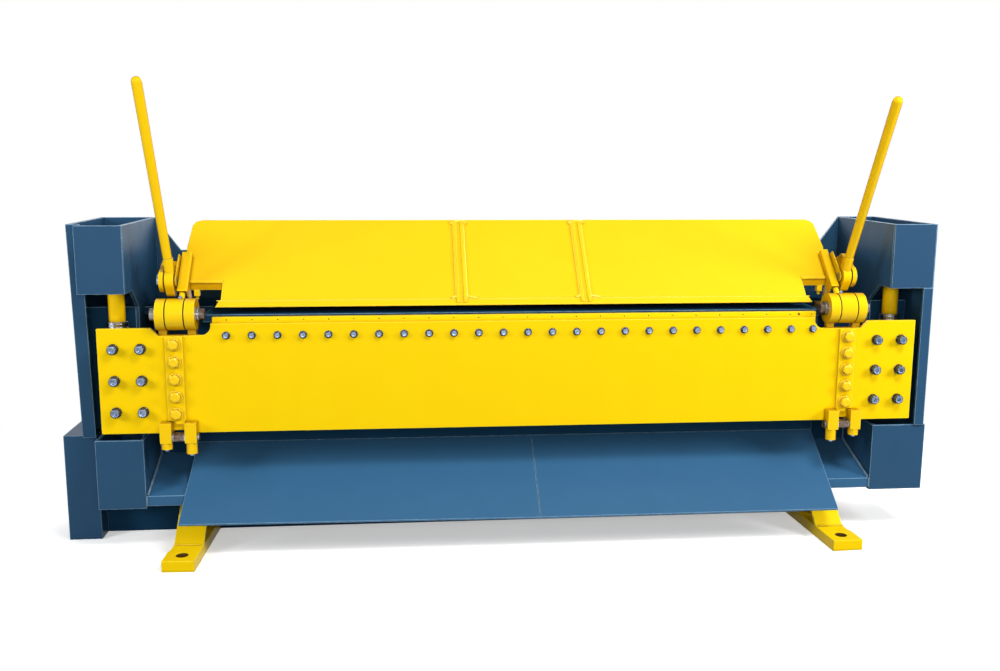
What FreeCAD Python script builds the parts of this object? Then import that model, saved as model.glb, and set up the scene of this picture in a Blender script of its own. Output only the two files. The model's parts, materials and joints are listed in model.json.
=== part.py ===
import FreeCAD, Part
import os
from math import sin, cos, radians, sqrt, hypot, atan2, acos

# A sheet metal folding machine: a long folding leaf hangs on two barrel hinges in
# front of a fixed bed, a wedge shaped clamp beam above the bed is drawn down by two
# hand levers, and two hydraulic cylinders in open side stands swing the leaf up.
# X runs to the right along the machine, Y away from the operator, Z up.
# While the pieces are made, Y is 0 on the front face of the leaf and X is 0 at the
# middle of the working length. Each piece is then moved so that the origin lies on
# the floor, midway between the two floor bolt holes.

# Overall stations
bend_axis_z = 987.0
work_half = 1255.0
end_panel = 207.5
stand_depth_y = 575.0

# Clearances
running_fit = 0.06
bolt_clear = 0.5
slip_gap = 2.0
barrel_clear = 3.0

# Folding leaf
leaf_plate = 20.0
leaf_depth = 484.6
leaf_top_drop = 37.0
leaf_end_drop = 54.1
notch_clear = 19.8
notch_corner = 32.5
notch_lean = 31.0
top_bar_t = 22.0
top_bar_h = 100.0
top_bar_gap = 14.0
top_bar_left = -4.0
top_bar_right = 10.0
pilot_hole_r = 3.0
stiffener_t = 60.0
stiffener_h = 80.0
stiffener_up = 57.6

# Barrel hinges
hinge_offset = 54.0
knuckle_in = 40.0
knuckle_mid = 68.0
knuckle_out = 37.0
knuckle_gap = 5.0
barrel_r = 64.0
hinge_pin_r = 26.0
hinge_pin_tail = 27.0
hinge_pin_tip = 21.0
hinge_washer_r = 29.5
hinge_washer_t = 10.0
hinge_plate_t = 25.0
hinge_plate_low = 52.0
neck_w = 32.0
strap_w = 70.0
strap_t = 9.0
strap_from_end = 63.3
tongue_w = 37.0
tongue_shift = 12.0
arm_w = 44.0
arm_h = 50.0

# Fasteners
row_pitch = 102.0
row_edge = 60.7
row_last_in = 8.0
row_bolt_r = 8.0
row_bolt_af = 24.0
row_washer_r = 16.0
row_drop = 85.1
end_bolt_r = 12.0
end_bolt_head_r = 18.5
end_bolt_head_h = 28.0
end_bolt_x = (61.5, 168.9)
end_bolt_first = 136.0
end_bolt_pitch = 129.5
hinge_bolt_r = 15.0
hinge_bolt_af = 39.0
hinge_washer_out_r = 28.0
hinge_bolt_first = 118.0
hinge_bolt_pitch = 71.4
hinge_bolt_count = 5

# Leaf adjusters
adjuster_out_w = 45.0
adjuster_in_w = 46.0
adjuster_span = 144.0
adjuster_h = 83.0
adjuster_d = 45.0
adjuster_lap = 49.6
adjuster_boss_r = 22.0
adjuster_pin_r = 13.5
pin_roller_r = 19.5
pin_washer_r = 21.0
pin_washer_t = 6.0
pin_end_r = 15.5
adjuster_recess = 12.0
tongue_up = 38.0
boss_short = 26.0
boss_long = 46.0

# Leaf end blocks and hydraulic cylinders
lug_y = 150.0
lug_drop = 99.0
lug_r = 26.0
lug_pin_r = 12.5
cheek_t = 24.0
cheek_gap = 40.0
end_block_t = 40.0
end_block_low = 57.6
end_block_w = 200.5
cheek_root = 130.0
end_block_h = 330.0
cylinder_in = 46.5
cylinder_r = 33.5
cylinder_bore_r = 27.0
cylinder_top = 352.0
gland_r = 44.0
gland_h = 27.0
gland_start = 28.0
piston_rod_r = 20.0
rod_eye_r = 24.0
rod_eye_w = 36.0
piston_h = 32.0
trunnion_rise = 123.0
trunnion_r = 20.0
trunnion_gap = 1.5
bracket_room = 42.0
bracket_t = 14.0
bracket_below = 55.0
bracket_above = 95.0
bracket_boss_r = 32.0

# Clamp beam
clamp_stroke = 38.0
lever_swing = 60.0
sheet_gap = 0.5
nose_setback = 13.13
nose_land = 4.6
nose_band = 27.0
nose_depth = 80.0
face_plate = 12.0
face_top_z = 1340.4
face_left_in = 31.0
face_right_in = 10.0
face_notch_z = 1097.0
face_edge_h = 14.0
face_edge_t = 5.0
face_notch_out = 105.0
face_side_out = 133.0
face_side_z = 1225.0
face_corner_out = 122.0
face_corner_z = 1319.0
face_top_out = 87.0
beam_plate = 10.0
beam_rib_pitch = 408.0
nose_left_in = 11.0
nose_right_out = 7.0
nose_corner = 6.0
end_web_drop = 29.0
stop_out = 76.0
stop_w = 22.0
stop_d = 24.0
stop_h = 26.0
stop_tip = 14.0
stop_tip_r = 6.0
face_rib_w = 42.0
face_rib_t = 9.0
face_rib_x = (-239.0, 284.0)

# Tie rods, guides and hand levers
tie_rod_r = 11.5
tie_rod_in = 23.0
tie_past_barrel = 62.5
crank_pin_r = 7.0
eye_half = 8.0
eye_wall = 5.6
guide_half = 22.0
guide_wall = 5.0
guide_crest = 22.0
guide_depth = 104.0
guide_length = 205.0
lever_pin_r = 16.0
lever_hub_r = 44.0
crank_hub_r = 30.0
left_bracket_off = 12.0
right_bracket_off = 2.5
bracket_plate = 5.0
hub_gap = 2.5
hub_w = 34.0
spacer_w = 5.0
spacer_r = 30.0
ear_plate = 18.0
ear_r = 44.0
ear_drop = 20.0
ear_tip_r = 28.0
web_from_pivot = 71.0
web_length = 80.0
arm_neck = 62.0
arm_lap = 15.0
arm_rise = 25.0
ring_wall = 9.0
pivot_head_r = 25.5
pivot_head_h = 13.0
right_lean = 26.0
left_lean = 14.6
lever_length = 820.0
right_splay = 22.0
left_splay = 50.0
lever_root_r = 17.75
lever_tip_r = 20.5
lever_root_up = 30.0
socket_h = 66.0
socket_wall = 7.0

# Bed
bed_gap = 3.0
bed_top_drop = 7.0
bed_plate = 30.0
bed_out = 35.0
bed_web = 12.0
bed_front_web_y = 217.0
bed_wall_y = 290.0
bed_front_low = 403.0
bed_front_left = 110.0
bed_front_right = 100.0
bed_rib_pitch = 420.0

# Chute and aprons
chute_low_y = -124.0
chute_drop = 40.0
chute_flare = 10.0
chute_edge = 7.0
chute_left_out = 129.0
chute_right_out = 97.0
chute_joint_x = 75.0
chute_joint_gap = 2.0
apron_rise = 10.0
apron_lip_h = 42.0
apron_climb = 103.0
apron_plate = 10.0
apron_tuck = 90.0
apron_tuck_y = 45.0

# Floor beam, pedestal and feet
beam_base_h = 185.0
beam_base_y = 257.0
beam_base_d = 200.0
beam_base_wall = 10.0
beam_base_right = 145.0
pedestal_w = 135.0
pedestal_front = 165.0
pedestal_depth = 345.0
pedestal_h = 455.0
foot_left_out = 116.5
foot_right_out = 94.0
foot_w = 122.0
foot_bar_w = 120.0
foot_toe = 2.6
foot_h = 45.0
foot_front_y = -236.0
foot_pad = 121.0
pad_out = 5.0
pad_corner = 16.0
foot_hole_y = -172.0
foot_hole_r = 24.0
foot_brace_y = -60.0
foot_brace_end = 130.0
foot_plate = 14.0

# Side stands
stand_lap = 121.8
stand_plate = 14.0
stand_skin = 12.0
box_front_y = -11.0
box_low_z = 1072.8
box_top_z = 1343.7
box_width = 182.7
throat_y = 207.0
throat_ledge_z = 993.0
slant_y = 110.0
slant_z = 993.0
lower_box_in = 38.7
lower_box_y = -2.0
lower_box_h = 289.5
lower_left_out = 30.5
lower_right_out = 12.0
right_outer_out = 63.5
right_flange = 42.0
left_outer_out = 114.5
left_flange = 53.0
left_lean_top_y = 75.0
left_lean_low_y = 129.0
pedestal_from_leaf = 70.5
tie_plate_top = 1197.0
tie_plate_low = 1020.0
tie_rise_in = 106.0
tie_rise_step = 32.0
tie_rise_h = 44.0
tie_leg_lap = 90.0

# Stations that follow from the sizes above
axis_y = leaf_plate
axis_z = bend_axis_z
in_0 = work_half + hinge_offset
in_1 = in_0 + knuckle_in
mid_0 = in_1 + knuckle_gap
mid_1 = mid_0 + knuckle_mid
out_0 = mid_1 + knuckle_gap
out_1 = out_0 + knuckle_out
notch_out = out_1 + notch_lean - slip_gap
leaf_half = notch_out + end_panel
leaf_low = axis_z - leaf_depth
leaf_top = axis_z - leaf_top_drop
leaf_end_top = axis_z - leaf_end_drop
notch_z = axis_z - barrel_r - notch_clear
strap_x = out_1 - strap_from_end
strap_top = notch_z - slip_gap
hinge_plate_z = leaf_low + hinge_plate_low
stand_in = leaf_half - stand_lap
cyl_x = leaf_half - cylinder_in
lug_z = axis_z - lug_drop
trunnion_z = axis_z + trunnion_rise
bed_top = axis_z - bed_top_drop
bed_y0 = axis_y + top_bar_t + bed_gap
bed_half = work_half + bed_out
rod_x0 = mid_0 + tie_rod_in
root2 = sqrt(2.0)


def slope(a, p):
    # a runs up and back along the 45 degree face, p stands out from it to the front
    return ((a - p) / root2, (a + p) / root2)


axis_a = (axis_y + axis_z) / root2
axis_p = (axis_z - axis_y) / root2
half_swing = radians(lever_swing / 2.0)
crank_r = clamp_stroke / (2.0 * sin(half_swing))
slot_along = crank_pin_r + 0.8
slot_across = crank_pin_r + crank_r * (1.0 - cos(half_swing)) / 2.0 + 0.35
eye_across = slot_across + eye_wall
eye_a = axis_a + barrel_r + tie_past_barrel
pivot_a = eye_a + crank_r * sin(half_swing)
pivot_p = axis_p + crank_r * (1.0 + cos(half_swing)) / 2.0
crank_a = pivot_a - crank_r * sin(half_swing)
crank_p = pivot_p - crank_r * cos(half_swing)
pivot_y, pivot_z = slope(pivot_a, pivot_p)
crank_y, crank_z = slope(crank_a, crank_p)

nose_z = bed_top + sheet_gap + clamp_stroke / root2
nose_y = axis_y + nose_setback + clamp_stroke / root2
face_p = (nose_z - nose_y) / root2
face_back_p = face_p - face_plate
band = nose_band / root2
lip = nose_land / 2.0
nose_top = nose_z + nose_land + band - lip
beam_back_y = face_top_z - face_p * root2

left_plate = rod_x0 + eye_half + left_bracket_off
right_plate = rod_x0 + eye_half + right_bracket_off
hub_from_plate = bracket_plate + hub_gap
ear_from_plate = hub_from_plate + hub_w + hub_gap / 2.0 + spacer_w

foot_left_x = work_half + foot_left_out
foot_right_x = work_half + foot_right_out
chute_low_z = beam_base_h - chute_drop
chute_left = work_half + chute_left_out
chute_right = work_half + chute_right_out
chute_slope = (bed_front_low - chute_low_z) / (bed_front_web_y - chute_low_y)
lower_in = stand_in - lower_box_in
lower_left = leaf_half + lower_left_out
right_outer = leaf_half + right_outer_out
left_outer = leaf_half + left_outer_out
pedestal_in = leaf_half + pedestal_from_leaf
lower_box_low = beam_base_h
lower_box_top = lower_box_low + lower_box_h
origin = FreeCAD.Vector((foot_left_x - foot_right_x) / 2.0, -foot_hole_y, 0)


def vec(x, y, z):
    return FreeCAD.Vector(x, y, z)


def box(x0, x1, y0, y1, z0, z1):
    return Part.makeBox(x1 - x0, y1 - y0, z1 - z0, vec(x0, y0, z0))


def prism(points, way):
    face = Part.Face(Part.makePolygon(points + points[:1]))
    return face.extrude(way)


def prism_x(yz, x0, x1):
    return prism([vec(x0, y, z) for y, z in yz], vec(x1 - x0, 0, 0))


def prism_y(xz, y0, y1):
    return prism([vec(x, y0, z) for x, z in xz], vec(0, y1 - y0, 0))


def prism_a(ap, x0, x1):
    return prism_x([slope(a, p) for a, p in ap], x0, x1)


def rod_x(y, z, x0, x1, r):
    return Part.makeCylinder(r, x1 - x0, vec(x0, y, z), vec(1, 0, 0))


def rod_y(x, z, y0, y1, r):
    return Part.makeCylinder(r, y1 - y0, vec(x, y0, z), vec(0, 1, 0))


def rod_z(x, y, z0, z1, r):
    return Part.makeCylinder(r, z1 - z0, vec(x, y, z0), vec(0, 0, 1))


def hull_x(y1, z1, r1, y2, z2, r2, x0, x1):
    # the outline of a belt round two circles, as a plate across X
    along = hypot(y2 - y1, z2 - z1)
    turn = atan2(z2 - z1, y2 - y1)
    side = acos((r1 - r2) / along)
    corners = []
    for y, z, r, way in ((y1, z1, r1, 1), (y2, z2, r2, 1), (y2, z2, r2, -1), (y1, z1, r1, -1)):
        corners.append((y + r * cos(turn + way * side), z + r * sin(turn + way * side)))
    bridge = prism_x(corners, x0, x1)
    return bridge.fuse([rod_x(y1, z1, x0, x1, r1), rod_x(y2, z2, x0, x1, r2)]).removeSplitter()


def mirrored(shape):
    return shape.mirror(vec(0, 0, 0), vec(1, 0, 0))


def pair(shape):
    return [mirrored(shape), shape]


def join(first, others):
    return first.fuse(others).removeSplitter()


def hex_bolt(x, z, face_y, shank_r, across, washer_r, shank):
    # washer, hexagon head with a turned chamfer, and shank, pointing to +Y
    washer_t = across * 0.12
    head_h = across * 0.48
    corner = across / sqrt(3.0)
    top = face_y - washer_t - head_h
    points = []
    for k in range(6):
        turn = radians(60 * k + 30)
        points.append((x + corner * cos(turn), z + corner * sin(turn)))
    head = prism_y(points, top, face_y - washer_t)
    dome = Part.makeCone(corner * 0.84, corner * 0.84 + head_h * 2.0, head_h, vec(x, top, z), vec(0, 1, 0))
    head = head.common(dome)
    washer = rod_y(x, z, face_y - washer_t, face_y, washer_r)
    return join(head, [washer, rod_y(x, z, face_y, face_y + shank, shank_r)])


def cap_screw(x, z, face_y, shank):
    # round head with a broken edge and a recess for the key, and shank, pointing to +Y
    top = face_y - end_bolt_head_h
    edge = end_bolt_head_r * 0.12
    crown = Part.makeCone(end_bolt_head_r - edge, end_bolt_head_r, edge, vec(x, top, z), vec(0, 1, 0))
    head = crown.fuse(rod_y(x, z, top + edge, face_y, end_bolt_head_r))
    head = head.cut(rod_y(x, z, top - 1, top + end_bolt_head_h * 0.5, end_bolt_head_r * 0.55))
    return join(head, [rod_y(x, z, face_y, face_y + shank, end_bolt_r)])


def save(name, solids):
    shape = solids[0] if len(solids) == 1 else Part.makeCompound(solids)
    shape = shape.copy()
    shape.translate(origin)
    shape.exportStep("parts/%s.step" % name)
    good = all(s.isValid() for s in solids)
    print("%-24s %2d solids %9.1f cm3 valid %s" % (name, len(shape.Solids), shape.Volume / 1000.0, good))


os.makedirs("parts", exist_ok=True)

# Bolt positions, used for the bolts and for every hole that they pass through
row_x = []
row_last = work_half - row_last_in
row_at = row_edge - work_half
while row_at < row_last - row_pitch / 2.0:
    row_x.append(row_at)
    row_at = row_at + row_pitch
row_x.append(row_last)
row_z = axis_z - row_drop
end_spots = []
for side in (-1, 1):
    for inset in end_bolt_x:
        for k in range(3):
            end_spots.append((side * (leaf_half - inset), axis_z - end_bolt_first - k * end_bolt_pitch))
hinge_spots = []
for side in (-1, 1):
    for k in range(hinge_bolt_count):
        hinge_spots.append((side * strap_x, axis_z - hinge_bolt_first - k * hinge_bolt_pitch))


def drilled(shape, spots, r, y0, y1):
    holes = [rod_y(x, z, y0, y1, r + bolt_clear) for x, z in spots]
    return shape.cut(holes)


# Leaf plate with its two hinge notches and a recess over each adjuster pin
leaf = box(-leaf_half, leaf_half, 0, leaf_plate, leaf_low, leaf_top)
corner_far = vec(work_half + notch_corner, -1, notch_z)
corner_mid = vec(work_half + notch_corner * 0.29, -1, notch_z + (leaf_top - notch_z) * 0.29)
corner_top = vec(work_half, -1, leaf_top)
above = leaf_top + 1.0
notch_edges = [
    Part.Arc(corner_top, corner_mid, corner_far).toShape(),
    Part.makeLine(corner_far, vec(notch_out - notch_lean, -1, notch_z)),
    Part.makeLine(vec(notch_out - notch_lean, -1, notch_z), vec(notch_out, -1, leaf_end_top)),
    Part.makeLine(vec(notch_out, -1, leaf_end_top), vec(leaf_half + 1, -1, leaf_end_top)),
    Part.makeLine(vec(leaf_half + 1, -1, leaf_end_top), vec(leaf_half + 1, -1, above)),
    Part.makeLine(vec(leaf_half + 1, -1, above), vec(work_half, -1, above)),
    Part.makeLine(vec(work_half, -1, above), corner_top),
]
notch = Part.Face(Part.Wire(notch_edges)).extrude(vec(0, leaf_plate + 2, 0))
leaf = leaf.cut(pair(notch))
leaf = drilled(leaf, [(x, row_z) for x in row_x], row_bolt_r, -1, leaf_plate + 1)
leaf = drilled(leaf, end_spots, end_bolt_r, -1, leaf_plate + 1)
leaf = drilled(leaf, hinge_spots, hinge_bolt_r, -1, leaf_plate + 1)
adj_x1 = out_1
adj_x0 = adj_x1 - adjuster_span
recess = box(adj_x0 + adjuster_in_w, adj_x1 - adjuster_out_w, -strap_t - 1, leaf_plate + 1,
             leaf_low - 1, leaf_low + adjuster_recess)
leaf = leaf.cut(pair(recess))
save("leaf_plate", [leaf])

# Folding bar behind the leaf's top edge, with small pilot holes in the band that shows
bar_top = axis_z - top_bar_gap
bar_x0 = -(work_half + top_bar_left)
bar_x1 = work_half + top_bar_right
bar = box(bar_x0, bar_x1, leaf_plate, leaf_plate + top_bar_t, bar_top - top_bar_h, bar_top)
bar = drilled(bar, [(x, row_z) for x in row_x], row_bolt_r, leaf_plate - 1, leaf_plate + top_bar_t + 1)
pilots = []
pilot_z = (leaf_top + bar_top) / 2.0
for x in row_x:
    pilots.append(rod_y(x, pilot_z, leaf_plate - 1, leaf_plate + 10, pilot_hole_r))
large_x = row_x[-1] - row_pitch * 0.55
pilots.append(rod_y(large_x, pilot_z, leaf_plate - 1, leaf_plate + 10, pilot_hole_r * 2))
save("leaf_top_bar", [bar.cut(pilots)])

# Stiffening bar low on the back of the leaf
stiff_half = work_half - stiffener_t / 4.0
save("leaf_stiffener", [box(-stiff_half, stiff_half, leaf_plate, leaf_plate + stiffener_t,
                            leaf_low + stiffener_up, leaf_low + stiffener_up + stiffener_h)])

# Bolts of the leaf
row_shank = leaf_plate + top_bar_t - 4
row_bolts = [hex_bolt(x, row_z, 0, row_bolt_r, row_bolt_af, row_washer_r, row_shank) for x in row_x]
save("leaf_bar_bolts", row_bolts)
end_shank = leaf_plate + end_block_t - 10
save("leaf_end_bolts", [cap_screw(x, z, 0, end_shank) for x, z in end_spots])
hinge_shank = strap_t + leaf_plate + hinge_plate_t
hinge_bolts = []
for x, z in hinge_spots:
    hinge_bolts.append(hex_bolt(x, z, -strap_t, hinge_bolt_r, hinge_bolt_af, hinge_washer_out_r, hinge_shank))
save("leaf_hinge_bolts", hinge_bolts)

# Straps under the hinge bolts, each with a narrow tongue towards the adjuster pin
strap = box(strap_x - strap_w / 2, strap_x + strap_w / 2, -strap_t, 0, hinge_plate_z, strap_top)
tongue_x = strap_x - tongue_shift
tongue = box(tongue_x - tongue_w / 2, tongue_x + tongue_w / 2, -strap_t, 0, leaf_low + tongue_up, hinge_plate_z)
strap = join(strap, [tongue])
strap = drilled(strap, [s for s in hinge_spots if s[0] > 0], hinge_bolt_r, -strap_t - 1, 1)
save("leaf_straps", pair(strap))

# Leaf side of each barrel hinge: a plate behind the leaf, two necks and two knuckles
plate_x0 = in_0 + 3.0
plate_x1 = out_1 - slip_gap
hinge = box(plate_x0, plate_x1, leaf_plate, leaf_plate + hinge_plate_t, hinge_plate_z, notch_z)
neck_in = box(in_1 - 1 - neck_w, in_1 - 1, leaf_plate, leaf_plate + hinge_plate_t, notch_z, axis_z)
neck_out = box(out_1 - slip_gap - neck_w, out_1 - slip_gap, leaf_plate, leaf_plate + hinge_plate_t,
               notch_z, axis_z)
knuckles = [rod_x(axis_y, axis_z, in_0, in_1, barrel_r), rod_x(axis_y, axis_z, out_0, out_1, barrel_r)]
hinge = join(hinge, [neck_in, neck_out] + knuckles)
hinge = hinge.cut(rod_x(axis_y, axis_z, in_0 - 1, out_1 + 1, hinge_pin_r + running_fit))
hinge = drilled(hinge, [s for s in hinge_spots if s[0] > 0], hinge_bolt_r, 0, leaf_plate + hinge_plate_t + 1)
save("leaf_hinges", pair(hinge))

# Hinge pins, stepped at the inner end, and the washers beside the inner knuckles
tip_x = in_0 - hinge_washer_t - hinge_pin_tip
pin = rod_x(axis_y, axis_z, in_0 - hinge_washer_t - slip_gap, out_1 + hinge_pin_tail, hinge_pin_r)
pin = join(pin, [rod_x(axis_y, axis_z, tip_x, in_0 - hinge_washer_t, hinge_pin_r - 4.0)])
pin = pin.cut(rod_x(axis_y, axis_z, tip_x, tip_x + hinge_pin_tip, hinge_pin_r * 0.22))
save("hinge_pins", pair(pin))
washer = rod_x(axis_y, axis_z, in_0 - hinge_washer_t, in_0, hinge_washer_r)
washer = washer.cut(rod_x(axis_y, axis_z, in_0 - hinge_washer_t - 1, in_0 + 1, hinge_pin_r + running_fit))

# Adjusters under the leaf: clevis blocks, their screws and cross pins
adj_top = leaf_low + adjuster_lap
adj_low = adj_top - adjuster_h
block_outline = [(-adjuster_d, adj_low), (-adjuster_d, adj_top), (0, adj_top), (0, leaf_low),
                 (leaf_plate, leaf_low), (leaf_plate, adj_low)]
pin_y = -adjuster_d * 0.35
pin_z = adj_low + adjuster_h * 0.24
screw_y = -adjuster_d * 0.5
block_in = prism_x(block_outline, adj_x0, adj_x0 + adjuster_in_w)
block_out = prism_x(block_outline, adj_x1 - adjuster_out_w, adj_x1)
in_x = adj_x0 + adjuster_in_w / 2
out_x = adj_x1 - adjuster_out_w / 2
boss_in = rod_z(in_x, screw_y, adj_low - boss_long, adj_low, adjuster_boss_r)
boss_out = rod_z(out_x, screw_y, adj_low - boss_short, adj_low, adjuster_boss_r)
bore = rod_x(pin_y, pin_z, adj_x0 - 1, adj_x1 + 1, adjuster_pin_r + running_fit)
blocks = []
for block, boss, mid in ((block_in, boss_in, in_x), (block_out, boss_out, out_x)):
    piece = join(block, [boss]).cut(bore)
    piece = piece.cut(rod_z(mid, screw_y, adj_top - 12, adj_top + 1, 5.5))
    low = adj_low - (boss_long if mid == in_x else boss_short)
    blocks.append(piece.cut(rod_z(mid, screw_y, low - 1, low + 20, 10 + bolt_clear)))
save("adjuster_blocks", pair(blocks[0]) + pair(blocks[1]))
screws = []
for mid, low in ((in_x, adj_low - boss_long), (out_x, adj_low - boss_short)):
    screws = screws + pair(rod_z(mid, screw_y, low - 8, low + 20, 10))
save("adjuster_screws", screws)
# The pins carry a roller between the blocks; bright washers sit beside it and under the inner end
cross = rod_x(pin_y, pin_z, adj_x0 - pin_washer_t - 2, adj_x1, adjuster_pin_r)
roller_x0 = adj_x0 + adjuster_in_w + pin_washer_t
roller_x1 = adj_x1 - adjuster_out_w - pin_washer_t
save("adjuster_pins", pair(join(cross, [rod_x(pin_y, pin_z, roller_x0, roller_x1, pin_roller_r)])))
pin_rings = [rod_x(pin_y, pin_z, roller_x0 - pin_washer_t, roller_x0, pin_washer_r),
             rod_x(pin_y, pin_z, roller_x1, roller_x1 + pin_washer_t, pin_washer_r),
             rod_x(pin_y, pin_z, adj_x0 - pin_washer_t, adj_x0, pin_end_r)]
washers = pair(washer)
for ring in pin_rings:
    washers = washers + pair(ring.cut(rod_x(pin_y, pin_z, adj_x0 - 10, adj_x1, adjuster_pin_r + running_fit)))
save("leaf_washers", washers)

# Leaf end blocks: a plate bolted behind the leaf with two cheeks for the cylinder's pin
block_x1 = cyl_x + cheek_gap / 2 + cheek_t
block_x0 = leaf_half - end_block_w
plate_z0 = leaf_low + end_block_low
plate_z1 = plate_z0 + end_block_h
block = box(block_x0, block_x1, leaf_plate, leaf_plate + end_block_t, plate_z0, plate_z1)
cheek_outline = [(leaf_plate + end_block_t, plate_z1 - cheek_root), (leaf_plate + end_block_t, plate_z1),
                 (lug_y - lug_r * 0.62, lug_z + lug_r * 0.78), (lug_y + lug_r * 0.5, lug_z - lug_r * 0.86)]
cheeks = []
for x0 in (cyl_x - cheek_gap / 2 - cheek_t, cyl_x + cheek_gap / 2):
    cheeks.append(prism_x(cheek_outline, x0, x0 + cheek_t))
    cheeks.append(rod_x(lug_y, lug_z, x0, x0 + cheek_t, lug_r))
block = join(block, cheeks)
lug_bore = rod_x(lug_y, lug_z, block_x1 - cheek_gap - 2 * cheek_t - 1, block_x1 + 1, lug_pin_r + running_fit)
block = block.cut(lug_bore)
right_spots = [s for s in end_spots if s[0] > 0]
block = drilled(block, right_spots, end_bolt_r, leaf_plate - 1, leaf_plate + end_block_t - 8)
save("leaf_end_blocks", pair(block))
lug_pin = rod_x(lug_y, lug_z, block_x1 - cheek_gap - 2 * cheek_t - 5, block_x1 + 5, lug_pin_r)
save("lug_pins", pair(lug_pin))

# Piston rods: an eye on the lug pin, the rod and the piston inside the tube
piston_z1 = lug_z + cylinder_top - 18
rod = join(rod_x(lug_y, lug_z, cyl_x - rod_eye_w / 2, cyl_x + rod_eye_w / 2, rod_eye_r),
           [rod_z(cyl_x, lug_y, lug_z + rod_eye_r * 0.5, piston_z1 - piston_h, piston_rod_r)])
eye_trim = box(cyl_x - rod_eye_w, cyl_x - rod_eye_w / 2, lug_y - rod_eye_r, lug_y + rod_eye_r,
               lug_z, lug_z + gland_start - 2)
eye_trim_2 = eye_trim.copy()
eye_trim_2.translate(vec(rod_eye_w * 1.5, 0, 0))
rod = rod.cut([eye_trim, eye_trim_2])
rod = join(rod, [rod_z(cyl_x, lug_y, piston_z1 - piston_h, piston_z1, cylinder_bore_r - running_fit)])
rod = rod.cut(rod_x(lug_y, lug_z, cyl_x - rod_eye_w, cyl_x + rod_eye_w, lug_pin_r + running_fit))
save("left_piston_rod", [mirrored(rod)])
save("right_piston_rod", [rod])

# Cylinder tubes with closed tops and trunnion stubs, and the glands at their mouths
tube_z0 = lug_z + gland_start + gland_h
tube_z1 = lug_z + cylinder_top
tube = rod_z(cyl_x, lug_y, tube_z0, tube_z1, cylinder_r)
stub_half = bracket_room - trunnion_gap
stub = rod_x(lug_y, trunnion_z, cyl_x - stub_half, cyl_x + stub_half, trunnion_r)
tube = join(tube, [stub])
tube = tube.cut(rod_z(cyl_x, lug_y, tube_z0 - 1, tube_z1 - 12, cylinder_bore_r))
save("left_cylinder", [mirrored(tube)])
save("right_cylinder", [tube])
gland = rod_z(cyl_x, lug_y, tube_z0 - gland_h, tube_z0, gland_r)
gland = gland.cut(rod_z(cyl_x, lug_y, tube_z0 - gland_h - 1, tube_z0 + 1, piston_rod_r + running_fit))
groove = rod_z(cyl_x, lug_y, tube_z0 - 9, tube_z0 - 6, gland_r + 1)
groove = groove.cut(rod_z(cyl_x, lug_y, tube_z0 - 10, tube_z0 - 5, gland_r - 1.5))
gland = gland.cut(groove)
save("left_gland", [mirrored(gland)])
save("right_gland", [gland])

# Nose bar of the clamp beam
nose = prism_x([(nose_y, nose_z), (nose_y, nose_z + nose_land),
                (nose_y + band, nose_z + nose_land + band),
                (nose_y + band + lip, nose_top),
                (nose_y + nose_depth, nose_top), (nose_y + nose_depth, nose_z)],
               -work_half - 50, work_half + 50)
nose_left_top = work_half - face_left_in + nose_corner
nose_right_top = work_half - face_right_in + nose_corner
nose_outline = [(-(work_half - nose_left_in), nose_z), (work_half + nose_right_out, nose_z),
                (nose_right_top, nose_top + lip + 1), (-nose_left_top, nose_top + lip + 1)]
nose = nose.common(prism_y(nose_outline, nose_y - 1, nose_y + nose_depth + 1))
save("beam_nose_bar", [nose])


def face_slab(p_back, p_front):
    # a slab that lies along the 45 degree face, much larger than the beam
    a0 = axis_a - 200
    a1 = axis_a + 900
    return prism_a([(a0, p_back), (a1, p_back), (a1, p_front), (a0, p_front)], -2 * work_half, 2 * work_half)


# Sloping face plate with its stepped ends
cheek_x = rod_x0 - guide_half


def face_side(low_in):
    # one end of the face's outline, from the nose up round the notch to the top edge
    corner_out = face_corner_out - (face_corner_out - face_top_out) * 0.34
    corner_z = face_top_z - (face_top_z - face_corner_z) * 0.3
    return [(work_half - low_in, nose_top), (work_half - low_in, face_notch_z),
            (work_half + face_notch_out, face_notch_z), (work_half + face_side_out, face_side_z),
            (work_half + face_corner_out, face_corner_z), (work_half + corner_out, corner_z),
            (work_half + face_top_out, face_top_z)]


right_side = face_side(face_right_in)
left_side = [(-x, z) for x, z in reversed(face_side(face_left_in))]
deep = beam_back_y + 200
face_solid = prism_y(right_side + left_side, 0, deep).common(face_slab(face_back_p, face_p))
edge_a0 = root2 * face_notch_z - face_p
edge_outline = [(edge_a0, face_p), (edge_a0 + face_edge_h, face_p),
                (edge_a0 + face_edge_h, face_p + face_edge_t),
                (edge_a0 + face_edge_t, face_p + face_edge_t)]
edge_strip = prism_a(edge_outline, work_half - face_left_in, cheek_x)
right_strip = edge_strip.common(box(work_half - face_right_in, cheek_x, 0, deep, 0, face_top_z))
save("beam_face_plate", [join(face_solid, [mirrored(edge_strip), right_strip])])

# Bottom, back, end webs and ribs of the clamp beam
rib_half = work_half - face_left_in
face_back_shift = face_back_p * root2
bottom = box(-rib_half, rib_half, nose_y + nose_depth, beam_back_y, nose_top - beam_plate, nose_top)
save("beam_bottom_plate", [bottom])
back_y0 = beam_back_y - face_plate
back = prism_x([(back_y0, nose_top), (beam_back_y, nose_top), (beam_back_y, beam_back_y + face_back_shift),
                (back_y0, back_y0 + face_back_shift)], -work_half - face_top_out, work_half + face_top_out)
low_cut = box(rib_half, work_half + face_top_out + 1, back_y0 - 1, beam_back_y + 1, nose_top - 1, face_notch_z)
save("beam_back_plate", [back.cut(pair(low_cut))])
rib_y0 = nose_top - face_back_shift
rib_outline = [(rib_y0, nose_top), (back_y0, nose_top), (back_y0, back_y0 + face_back_shift)]
ribs = pair(prism_x(rib_outline, rib_half - face_plate, rib_half))
rib_count = int((rib_half - beam_rib_pitch * 0.4) / beam_rib_pitch)
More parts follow.
